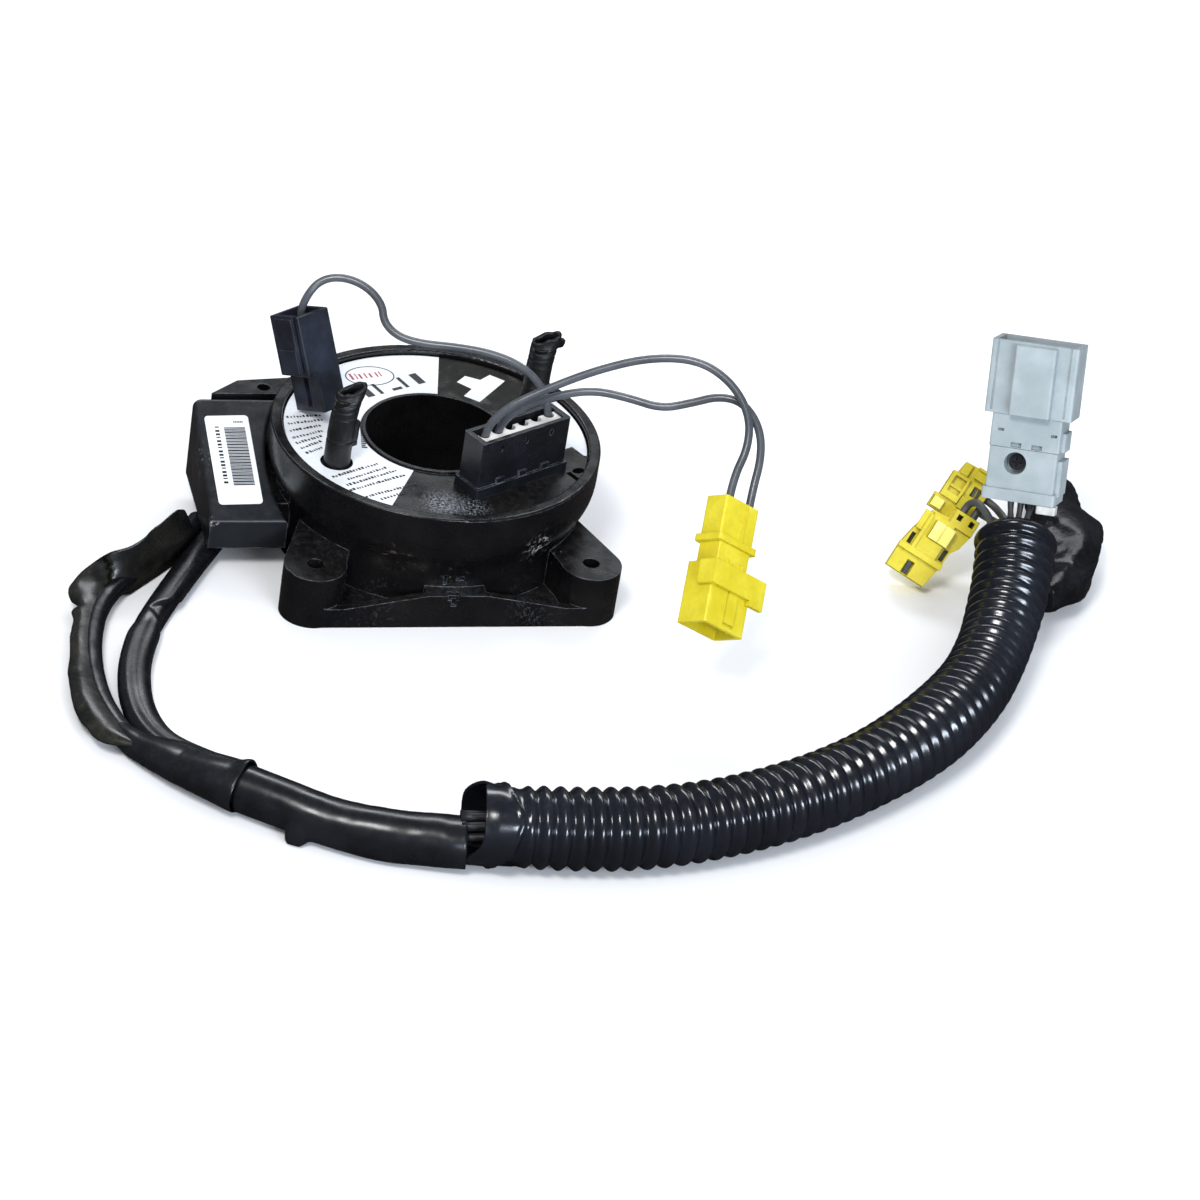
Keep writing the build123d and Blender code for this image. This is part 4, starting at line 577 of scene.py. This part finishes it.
# extruded PVC insulation: dark grey, half dull
loom_pvc = plastic("extruded_pvc_dark_grey", "1b1c20", "2a2c31", gloss=(0.35, 0.5), blotch=20, wear_and_shading=0.0)
LOOM_ROUTE = [(-21.0, -161.2, 10.0)] + CONDUIT_ROUTE[1:-1] + [(175.3, -40.6, 25.7)]
loom_line, loom_run = cord_line("loom_path", LOOM_ROUTE, 3.0)
loom_turn = np.linspace(0, 2 * math.pi, 10, endpoint=False)[None, :]
loom_parts = []
for index in range(9):
    reach = LOOM_REACH if index else 0.0
    lean = 2 * math.pi * index / 8 + loom_run[:, None] / LOOM_TWIST
    loom_parts.append(wrapped(skin(loom_line, reach * np.cos(lean) + LOOM_RADIUS * np.cos(loom_turn),
                                   reach * np.sin(lean) + LOOM_RADIUS * np.sin(loom_turn))))
loom = piece("conduit_loom", "housing", loom_pvc, *joined(loom_parts), "wire_grey")
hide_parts("conduit_wires")

# ---- Column plug
# The grey plug at the conduit's end: cap, contact holder and hood are moulded nylon and snap together.
# A zinc-plated screw and a clear nylon clip hold it; its contacts are tinned brass.
# moulded nylon: mid grey, half dull, dark on edges and creases: painted shade in seams, with some grime
plug_nylon = plastic("moulded_nylon_grey", "98a3a6", "a8b2b5", gloss=(0.36, 0.52), blotch=9, relief=0.03,
                     dust_and_sheen=0.35, dust_and_sheen_colour="6d6f6a", edge="2f3335", wear_and_shading=0.8, corner=0.25)
paint(plug_nylon, "main_plug_cap", "main_plug_holder", "main_plug_hood")
paint(tinned_brass, "main_plug_pins")
# zinc-plated steel gone dull: dark grey, scarcely bright
zinc_steel = metal("dull_zinc_plated_steel", "55565a", 0.4)
paint(zinc_steel, "plug_screw")
# uncoloured nylon: milky and shiny
clip_nylon = plastic("natural_nylon", "b9bab4", "d2d3ce", gloss=(0.15, 0.3), blotch=3, wear_and_shading=0.0)
paint(clip_nylon, "plug_clip")
# extruded PVC insulation: grey, half dull
wire_pvc = plastic("extruded_pvc_grey", "47494b", "5a5c5e", gloss=(0.35, 0.5), wear_and_shading=0.0)
paint(wire_pvc, "main_plug_wires")

# ---- The two small yellow plugs
# Restraint-system plugs of yellow PBT beside the column plug, each with a paler lock pressed into it,
# steel contacts inside and two grey wires behind.
# moulded PBT in signal yellow: smooth, with greyish dust; edges dark brown: painted shade with some grime
yellow_pbt = plastic("moulded_pbt_yellow", "d2bf1c", "e0d134", gloss=(0.26, 0.4), blotch=8, relief=0.02,
                     edge="6f6412", wear_and_shading=0.6, corner=0.22, dust_and_sheen=0.4, dust_and_sheen_colour="a5983a")
paint(yellow_pbt, "srs_plug_a", "srs_plug_b")
# the same PBT with less colour: pale lemon
pale_pbt = plastic("moulded_pbt_pale_yellow", "e9e06a", "f0e98c", gloss=(0.3, 0.42), blotch=6, relief=0.02,
                   wear_and_shading=0.2, corner=0.2)
paint(pale_pbt, "srs_lock_a", "srs_lock_b")
paint(zinc_steel, "srs_terminals_a", "srs_terminals_b")
paint(wire_pvc, "srs_wires_a", "srs_wires_b")

# ---- Taped branch
# A spare branch of the harness, folded back on itself beside the plugs and bound in vinyl tape.
# It is a bundle whose rings are cut flat by six wandering folds, crumpled over that.
TAPE_STATIONS = [((182.8, -52.6, 10.4), 4.4, 4.4), ((189.5, -47.0, 8.8), 6.0, 6.6),
                 ((197.4, -37.0, 8.6), 8.8, 8.0), ((202.2, -21.0, 9.6), 11.4, 9.2),
                 ((203.0, -6.0, 9.2), 9.6, 8.8), ((205.0, 8.0, 8.8), 7.4, 8.0),
                 ((207.4, 19.0, 8.0), 5.6, 7.0)]
# vinyl tape: black and glossy, its lapped edges showing as fine creases
tape_vinyl = plastic("vinyl_tape_black", "0b0b0e", "15161a", gloss=(0.2, 0.34), blotch=9, grain=2.5,
                     relief=0.3, dust_and_sheen=0.08, dust_and_sheen_colour="4f4d4a", wear_and_shading=0.0, ior=1.33)
stations = np.array([list(c) + [w, h] for c, w, h in TAPE_STATIONS])
marks = np.linspace(0, len(stations) - 1, 90)
tape = np.stack([np.interp(marks, np.arange(len(stations)), stations[:, i]) for i in range(5)], 1)
smoothing = np.ones(15) / 15
padded = np.pad(tape, ((7, 7), (0, 0)), mode="edge")
tape = np.stack([np.convolve(padded[:, i], smoothing, "valid") for i in range(5)], 1)
rough = np.stack(np.broadcast_arrays(marks[:, None] * 11, 9 * np.cos(TURN), 9 * np.sin(TURN)), -1)
rng = np.random.default_rng(5)
knots = np.linspace(0, len(stations) - 1, 8)
folds = np.full_like(rough[..., 0], 1.2)
for side in range(6):
    faced = np.interp(marks, knots, side * math.pi / 3 + rng.uniform(-0.45, 0.45, 8))[:, None]
    near = np.interp(marks, knots, rng.uniform(0.74, 1.02, 8))[:, None]
    folds = np.minimum(folds, near / np.maximum(np.cos(TURN - faced), 0.3))
folds = folds * (1 + 0.06 * crumple(rough, 6, 61) + 0.03 * crumple(rough, 2.6, 67))
tape_across = tape[:, 3:4] * np.cos(TURN) * folds
tape_above = tape[:, 4:5] * np.sin(TURN) * np.minimum(folds, 1.0)
tape_grid = skin(tape[:, :3], tape_across, tape_above)
taped = piece("taped_bundle", "housing", tape_vinyl, *wrapped(tape_grid), "shrink_tape")
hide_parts("taped_branch")

# ---- Ribbon cable
# The flat cable wound in the drum, which lets the rotor turn: copper tracks between two polyester
# films. It is clipped into the side case at one end and into the rotor at the other.
# laminated polyester film: amber, smooth and shiny
ribbon_polyester = plastic("laminated_polyester_film_amber", "8a5a22", "b07a35", gloss=(0.2, 0.3), wear_and_shading=0.0)
paint(ribbon_polyester, "ribbon_cable")

# ---- Rotor disc and lower ring
# The turning half: a disc with the shaft bore, and the ring that snaps to it from below. Both are
# moulded in acetal, which runs dry against the housing.
DISC_GRIT = [((-5, -38, 35), 9, "858a90", 0.8, 0.52), ((2, -41, 35), 9, "858a90", 0.8, 0.5)]
# moulded acetal: black, soft gloss, with pale grit near its front rim
disc_acetal = plastic("moulded_acetal_black", "0c0c0d", "171615", gloss=(0.2, 0.36), blotch=16, grain=0.6,
                      relief=0.04, dust_and_sheen=0.25, dust_and_sheen_colour="45433f", edge="7c828a", wear_and_shading=0.5, corner=0.3,
                      patches=DISC_GRIT)
paint(disc_acetal, "rotor_disc", "lower_rotor")

# ---- Disc label and its print
# A die-cut polyester film stuck on the disc, screen printed in white and black. Plain dashes, bars,
# a block and an oval outline stand for the print; each is a thin plate just over the film.


def printed_film():
    """Screen-printed polyester: white inside three ranges of bearing round the shaft, black elsewhere.

    The bearing is the arctangent of y over x; a coarse noise lays grime over both inks.
    """
    made, tree = blank_material("screen_printed_polyester_film")
    place = node(tree, "TexCoord", "Object")
    axes = node(tree, "SeparateXYZ", Vector=place)
    bearing = node(tree, "Math", 0, operation="ARCTAN2", in0=axes.outputs["Y"], in1=axes.outputs["X"])
    left = node(tree, "Math", 0, operation="GREATER_THAN", in0=bearing, in1=math.radians(78))
    near = node(tree, "Math", 0, operation="LESS_THAN", in0=bearing, in1=math.radians(-109))
    off = node(tree, "Math", 0, operation="SUBTRACT", in0=bearing, in1=math.radians(5))
    off = node(tree, "Math", 0, operation="ABSOLUTE", in0=off)
    right = node(tree, "Math", 0, operation="LESS_THAN", in0=off, in1=math.radians(20))
    white = node(tree, "Math", 0, operation="ADD", in0=left, in1=near)
    white = node(tree, "Math", 0, operation="ADD", use_clamp=True, in0=white, in1=right)
    specks = node(tree, "TexNoise", "Fac", **SEEDED, Vector=place, Scale=1000 / 8, Detail=6.0,
                  Roughness=0.65, W=2.0)
    grime = node(tree, "MapRange", "Result", **SMOOTH, Value=specks, From_Min=0.45, From_Max=0.8)
    faint = node(tree, "Math", 0, operation="MULTIPLY", in0=grime, in1=0.25)
    paper = node(tree, "Mix", 2, **COLOURS, in0=faint, in6=hex_colour("eef1f4"), in7=hex_colour("a9a7a0"))
    ink = node(tree, "Mix", 2, **COLOURS, in0=grime, in6=hex_colour("16140f"), in7=hex_colour("2b2823"))
    colour = node(tree, "Mix", 2, **COLOURS, in0=white, in6=ink, in7=paper)
    rough = node(tree, "MapRange", "Result", Value=grime, To_Min=0.22, To_Max=0.45)
    waves = node(tree, "TexNoise", "Fac", **SEEDED, Vector=place, Scale=1000 / 5, Detail=3.0,
                 Roughness=0.55, W=6.0)
    bump = node(tree, "Bump", 0, Height=waves, Distance=0.05 * MM, Strength=0.5)
    shader = node(tree, "BsdfPrincipled", 0, Base_Color=colour, Roughness=rough, Normal=bump)
    node(tree, "OutputMaterial", Surface=shader)
    return made


# printed film: two flat tones with a satin gloss that grime dulls
paint(printed_film(), "top_label")
# screen inks: flat; white shinier, red faded
ink_white = plastic("screen_ink_white", "f0f2f4", "e6e8ea", gloss=(0.3, 0.4), wear_and_shading=0.0, corner=0.02)
ink_red = plastic("screen_ink_red", "a04048", "b8585c", gloss=(0.35, 0.5), wear_and_shading=0.0, corner=0.02)
PRINT_LEVEL, PRINT_THICK = 35.43, 0.03


def slab(outline):
    """Points and faces of a thin plate on a closed outline: the outline at two levels, joined."""
    count = len(outline)
    points = [(x, y, level) for level in (PRINT_LEVEL, PRINT_LEVEL + PRINT_THICK) for x, y in outline]
    faces = [list(range(count))[::-1], [n + count for n in range(count)]]
    faces += [[n, (n + 1) % count, (n + 1) % count + count, n + count] for n in range(count)]
    return points, faces


T_MARK = [(27.8, 31.1), (23.7, 34.6), (20.0, 31.5), (15.7, 33.8), (12.4, 30.2), (16.3, 26.2), (13.0, 22.0),
          (17.3, 18.6)]
piece("t_mark", "rotor", ink_white, *slab(T_MARK), "label_paper", smooth=False)


def dash_row(start, end, height, rng, gap=0.35):
    """Short upright bars of uneven width along a row: they stand for print and spell nothing."""
    start, end = np.array(start, float), np.array(end, float)
    long = np.linalg.norm(end - start)
    along = (end - start) / long
    up = np.array([-along[1], along[0]])
    parts, at = [], 0.0
    while at < long - 0.4:
        wide = rng.uniform(0.35, 0.9)
        tall = height * rng.uniform(0.55, 1.0)
        a = start + along * at
        b = start + along * min(at + wide, long)
        parts.append(slab([tuple(a), tuple(b), tuple(b + up * tall), tuple(a + up * tall)]))
        at += wide + gap * rng.uniform(0.7, 1.8)
    return parts


rng = np.random.default_rng(7)
LEFT_ROWS = [((-44.2, 8.5), (-33.0, 9.8)), ((-44.2, 4.8), (-33.4, 7.2)), ((-44.3, 0.8), (-33.8, 4.2)),
             ((-44.1, -3.2), (-34.3, 1.0)), ((-43.4, -6.2), (-34.8, -1.8)), ((-42.4, -8.9), (-35.3, -4.6)),
             ((-41.3, -11.6), (-36.0, -8.3))]
NEAR_ROWS = [((-35.6, -24.6), (-20.3, -17.0)), ((-31.2, -25.8), (-18.3, -19.2)),
             ((-32.0, -29.1), (-15.8, -20.8)), ((-31.6, -31.8), (-12.9, -23.0)),
             ((-27.5, -35.3), (-10.5, -27.9)), ((-23.2, -36.6), (-14.0, -32.2))]
marks = []
for start, end in LEFT_ROWS + NEAR_ROWS:
    marks += dash_row(start, end, 1.2, rng)
marks += dash_row((-22.5, 4.8), (-24.2, -8.1), 1.9, rng)
piece("label_dashes", "rotor", ink_black, *joined(marks), "label_paper", smooth=False)


def oval_ring(centre, half, angle, width, count=72):
    """Points and faces of a flat elliptical ring of the print's thickness, as one closed band.

    A point is the centre plus (half - inset) times cosine and sine of its angle, turned by the angle.
    """
    around = np.linspace(0, 2 * math.pi, count, endpoint=False)
    turn = math.radians(angle)
    rings = []
    for inset, level in ((0.0, 0.0), (0.0, PRINT_THICK), (width, PRINT_THICK), (width, 0.0)):
        x, y = (half[0] - inset) * np.cos(around), (half[1] - inset) * np.sin(around)
        rings.append(np.stack([centre[0] + x * math.cos(turn) - y * math.sin(turn),
                               centre[1] + x * math.sin(turn) + y * math.cos(turn),
                               0 * x + PRINT_LEVEL + level], 1))
    faces = [[a * count + n, a * count + (n + 1) % count, (a + 1) % 4 * count + (n + 1) % count,
              (a + 1) % 4 * count + n] for a in range(4) for n in range(count)]
    return np.concatenate(rings), faces


piece("oval_outline", "rotor", ink_black, *oval_ring((-14.4, 33.3), (7.8, 5.6), 8, 0.35), "label_paper",
      smooth=False)
red_bars = dash_row((-20.2, 30.9), (-9.0, 33.6), 3.8, rng, gap=0.8)
piece("oval_bars", "rotor", ink_red, *joined(red_bars), "label_paper", smooth=False)
BOLD_BARS = [(2.6, 6.0), (1.2, 6.0), (3.4, 1.3), (1.2, 6.0), (2.6, 6.0)]
bold_lean = np.array([[0.92, 0.42], [-0.4, 0.92]])
bold = []
for n, (wide, tall) in enumerate(BOLD_BARS):
    corner = (-17.0 + 4.3 * n, 20.7 + 2.0 * n)
    corners = np.array([(0, 0), (wide, 0), (wide, tall), (0, tall)])
    bold.append(slab([tuple(c @ bold_lean + corner) for c in corners]))
piece("bold_bars", "rotor", ink_black, *joined(bold), "label_paper", smooth=False)

# ---- Peg sleeves
# Shrink tube over the two drive pegs, which quiets them in the wheel. It is black polyolefin, shrunk
# on with hot air, so it has crease rings and a pinched, slit top.
# shrunk polyolefin: black, dull, finely wrinkled
shrink_tube = plastic("shrunk_polyolefin_black", "0f0f11", "18181b", gloss=(0.38, 0.56), blotch=5, grain=1.0,
                      relief=0.12, dust_and_sheen=0.12, dust_and_sheen_colour="3c3d40", wear_and_shading=0.2, edge="4a4c50", corner=0.2)
PEG_RADIUS, PEG_TALL = 3.95, 27.4
CREASE_RINGS = ((9.5, 0.2), (17.8, 0.22), (20.2, 0.26), (22.6, 0.26))


def peg_sleeve(name, stands_for, low, lean, seed, fin, stub=0.0):
    """A shrink tube on a drive peg: thin rings creased in, its top bent, pinched flat and slit open.

    A lump (bearing, low end, high end, reach) stands out on its side, and a stub near its top. The
    radius is a constant less a narrow bell at each crease ring, plus crumples that grow upwards.
    """
    heights = np.linspace(0, PEG_TALL, 120)
    bend = (heights / 27) ** 3
    line = np.array(low)[None, :] + np.stack([lean[0] * bend, lean[1] * bend, heights], 1)
    h = heights[:, None]
    angle = np.linspace(0, 2 * math.pi, 64, endpoint=False)[None, :]
    rough = np.stack(np.broadcast_arrays(4 * np.cos(angle), 4 * np.sin(angle), h), -1)
    radius = PEG_RADIUS + 0.10 * crumple(rough, 5, seed)
    radius = radius + 0.32 * step(h, 19, 25) * crumple(rough, 4.5, seed + 3)
    for ring, deep in CREASE_RINGS:
        wander = ring + 0.4 * np.sin(angle + ring)
        radius = radius - deep * np.exp(-((h - wander) / 0.26) ** 2)
    turn_at, fin_low, fin_high, fin_reach = fin
    away = np.angle(np.exp(1j * (angle - math.radians(turn_at))))
    lump = step(h, fin_low, fin_low + 0.5) * (1 - step(h, fin_high, fin_high + 0.5))
    radius = radius + fin_reach * (1 - step(np.abs(away), 0.2, 0.3)) * lump
    away = np.angle(np.exp(1j * (angle - 0.1)))
    lump = step(h, 22.6, 23.2) * (1 - step(h, 25.2, 25.8))
    radius = radius + stub * (1 - step(np.abs(away), 0.18, 0.3)) * lump
    flat = step(h, 20, PEG_TALL)
    across = radius * np.cos(angle) * (1 + 0.1 * flat)
    above = radius * np.sin(angle) * (1 - 0.42 * flat)
    ragged = lattice(2.2 * np.cos(angle), 2.2 * np.sin(angle), 0 * angle, seed)
    drop = 3.0 * flat * (0.5 - 0.5 * np.cos(angle - 0.3)) + 0.5 * step(h, 24, PEG_TALL) * ragged
    grid = np.empty((len(heights), angle.shape[1], 3))
    grid[..., 0] = line[:, 0:1] + across
    grid[..., 1] = line[:, 1:2] + above
    grid[..., 2] = line[:, 2:3] - drop
    inner = grid.copy()
    inner[..., 0] = line[:, 0:1] + across * 0.77
    inner[..., 1] = line[:, 1:2] + above * (0.77 - 0.3 * flat)
    made = piece(name, "rotor", shrink_tube, *wrapped(grid, inner), "shrink_tape")
    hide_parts(stands_for)


front_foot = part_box("peg_sleeve_front")[0][2] / MM
rear_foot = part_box("peg_sleeve_rear")[0][2] / MM
peg_sleeve("peg_tube_front", "peg_sleeve_front", (-33.1, -15.6, front_foot), (2.0, 0.6), 71,
           (-8, 7.5, 15.5, 1.2))
peg_sleeve("peg_tube_rear", "peg_sleeve_rear", (33.1, 15.6, rear_foot), (1.4, 0.6), 83, (-60, 6, 12, 0.4),
           stub=1.6)

# ---- Connector block on the disc
# The upright block that the wheel's plugs meet: a glossy PBT housing clipped into the disc, a white
# nylon comb pressed into it that holds the contacts, and tinned brass contacts.
# moulded PBT with a polished finish: blue-black, glossy, with pale rubbed edges
connector_pbt = plastic("polished_pbt_black", "121317", "1c1e24", gloss=(0.22, 0.36), blotch=12, relief=0.03,
                        dust_and_sheen=0.12, dust_and_sheen_colour="5c6066", edge="9099a6", wear_and_shading=0.8, corner=0.3)
paint(connector_pbt, "rotor_connector")
# moulded nylon left white: bright, half dull
comb_nylon = plastic("moulded_nylon_white", "e9e9e6", "dedcd6", gloss=(0.35, 0.5), wear_and_shading=0.0, relief=0.03)
paint(comb_nylon, "terminal_retainer")
paint(tinned_brass, "rotor_terminals")

# ---- Horn lead
# One PVC-insulated wire from the connector block to a small nylon plug with a gold-plated contact.
# It is crimped at both ends and stays in the bend it was laid in.
WIRE_RADIUS = 1.2
# extruded PVC: mid grey and glossy
lead_pvc = plastic("extruded_pvc_grey_glossy", "44474c", "585b60", gloss=(0.2, 0.32), blotch=18, relief=0.02,
                   wear_and_shading=0.0, dust_and_sheen=0.12, dust_and_sheen_colour="8a8a88", ior=1.55)
HORN_WIRE = [(28.8, -16.9, 48.6), (28.8, -16.9, 56.6), (24.8, -11.8, 62.6), (18.6, -7.8, 65.6),
             (10.6, -3.9, 66.6), (1.6, -0.4, 66.2), (-7.4, 2.8, 65.2), (-14.2, 6.0, 65.6),
             (-18.2, 9.6, 68.4), (-18.6, 13.0, 72.8), (-23.2, 17.2, 76.5), (-29.9, 20.6, 77.5),
             (-36.2, 21.4, 75.8), (-40.2, 19.6, 71.4), (-41.9, 18.8, 65.2), (-40.3, 16.6, 59.2)]


def wire(name, route, stands_for):
    """A lead wire as a bevelled NURBS curve riding on the rotor; returns it with its length."""
    made = cord_curve(name, route, WIRE_RADIUS)
    made.data.materials.append(lead_pvc)
    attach(made, "rotor")
    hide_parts(stands_for)
    return made, cord_line(name + "_path", route, 1.0)[1][-1] * MM


horn_wire, horn_long = wire("horn_lead_wire", HORN_WIRE, "horn_wire")
# moulded nylon: black, its lighter tone blue as a painted sheen; dull, dusty
horn_nylon = plastic("moulded_nylon_black_blue_sheen", "14161c", "262b3a", gloss=(0.34, 0.5), blotch=10,
                     relief=0.04, dust_and_sheen=0.2, dust_and_sheen_colour="5a5f6a", edge="6c7382", wear_and_shading=0.5, corner=0.3)
paint(horn_nylon, "horn_plug")
# gold flash on brass: warm yellow, bright
gold_brass = metal("gold_plated_brass", "c8a060")
paint(gold_brass, "horn_terminal")

# ---- Airbag lead
# Two PVC-insulated wires from the connector block to the yellow airbag plug: a PBT plug with a
# shroud, a sliding lock and gold-plated pins. They are stiff enough to hold the plug up.
AIRBAG_WIRE_1 = [(6.8, -28.7, 48.6), (6.8, -28.7, 55.4), (12.6, -28.4, 62.8), (23.6, -28.4, 69.0),
                 (37.4, -29.9, 76.6), (51.8, -33.0, 82.9), (65.0, -38.2, 85.3), (73.8, -45.2, 81.9),
                 (78.3, -52.6, 75.5), (77.6, -58.4, 68.0), (72.7, -64.1, 61.0), (70.4, -70.5, 55.1)]
AIRBAG_WIRE_2 = [(11.2, -26.3, 48.6), (11.2, -26.3, 54.8), (17.2, -25.8, 61.2), (28.0, -26.8, 66.0),
                 (37.6, -29.6, 69.4), (47.2, -33.8, 69.4), (56.0, -38.6, 68.8), (64.4, -40.4, 72.0),
                 (71.8, -42.0, 75.4), (78.4, -45.6, 75.4), (82.6, -51.4, 70.4), (82.8, -56.8, 63.6),
                 (79.8, -62.7, 55.3), (77.8, -68.4, 50.0)]
airbag_wire_1, airbag_long_1 = wire("airbag_lead_wire_1", AIRBAG_WIRE_1, "airbag_wire_1")
airbag_wire_2, airbag_long_2 = wire("airbag_lead_wire_2", AIRBAG_WIRE_2, "airbag_wire_2")
paint(yellow_pbt, "airbag_plug", "airbag_shroud", "airbag_lock")
paint(gold_brass, "airbag_pins")

# ---- Floor, lights and camera
# A pale painted board to lie on, a world that is white to the camera and grey to the object, and
# three soft lamps. The camera looks down from the front, rolled so that uprights lean to the right.
# painted board: plain white, and dark in reflections so that black gloss stays black
board, board_tree = blank_material("painted_board_white")
glossy_ray = node(board_tree, "LightPath", "Is Glossy Ray")
board_colour = node(board_tree, "Mix", 2, **COLOURS, in0=glossy_ray, in6=hex_colour("f6f6f6"),
                    in7=hex_colour("3a3634"))
board_shader = node(board_tree, "BsdfPrincipled", 0, Base_Color=board_colour, Roughness=0.9,
                    Specular_IOR_Level=0.1)
node(board_tree, "OutputMaterial", Surface=board_shader)
floor_mesh = bpy.data.meshes.new("floor")
floor_mesh.from_pydata([(-6, -6, 0), (6, -6, 0), (6, 6, 0), (-6, 6, 0)], [], [(0, 1, 2, 3)])
floor_mesh.materials.append(board)
floor = linked("floor", floor_mesh)

SKY_DIFFUSE, SKY_GLOSSY, SKY_CAMERA = (0.60, 0.62, 0.66, 1), (0.10, 0.11, 0.13, 1), (1, 1, 1, 1)
world = bpy.data.worlds.new("studio")
world.use_nodes = True
scene.world = world
sky = world.node_tree
sky_rays = node(sky, "LightPath")
sky_colour = node(sky, "Mix", 2, **COLOURS, in0=sky_rays.outputs["Is Glossy Ray"], in6=SKY_DIFFUSE,
                  in7=SKY_GLOSSY)
sky_colour = node(sky, "Mix", 2, **COLOURS, in0=sky_rays.outputs["Is Camera Ray"], in6=sky_colour,
                  in7=SKY_CAMERA)
sky.links.new(sky_colour, sky.nodes["Background"].inputs["Color"])


def lamp(name, place, target, size, power, tint=(1, 1, 1)):
    """A rectangular area light that looks at a point; places and sizes in metres, power in watts."""
    data = bpy.data.lights.new(name, "AREA")
    data.shape = "RECTANGLE"
    data.size, data.size_y = size
    data.energy = power
    data.color = tint
    aim = (Vector(target) - Vector(place)).to_track_quat("-Z", "Y")
    linked(name, data).matrix_world = Matrix.Translation(Vector(place)) @ aim.to_matrix().to_4x4()


lamp("key", (-0.55, -0.75, 1.3), (0.03, -0.06, 0), (0.4, 0.4), 13)
lamp("window", (0.35, 0.95, 1.1), (0.05, -0.05, 0), (1.3, 0.3), 10, (0.93, 0.96, 1.0))
lamp("strip", (0.3, -1.2, 0.5), (0.05, -0.12, 0), (0.6, 0.22), 10, (0.78, 0.87, 1.0))

CAMERA_PLACE = (-273.6, -1010.5, 667.6)
CAMERA_RIGHT = (0.9648, -0.2193, 0.1451)
CAMERA_UP = (0.0043, 0.5646, 0.8253)
CAMERA_AHEAD = (0.2629, 0.7957, -0.5457)

lens = bpy.data.cameras.new("camera")
lens.sensor_width = 36.0
lens.lens = 121.7
lens.clip_start = 0.05
lens.clip_end = 20.0
camera = linked("camera", lens)
turn = Matrix((CAMERA_RIGHT, CAMERA_UP, [-v for v in CAMERA_AHEAD])).transposed()
camera.matrix_world = Matrix.Translation(Vector(CAMERA_PLACE) * MM) @ turn.to_4x4()
scene.camera = camera
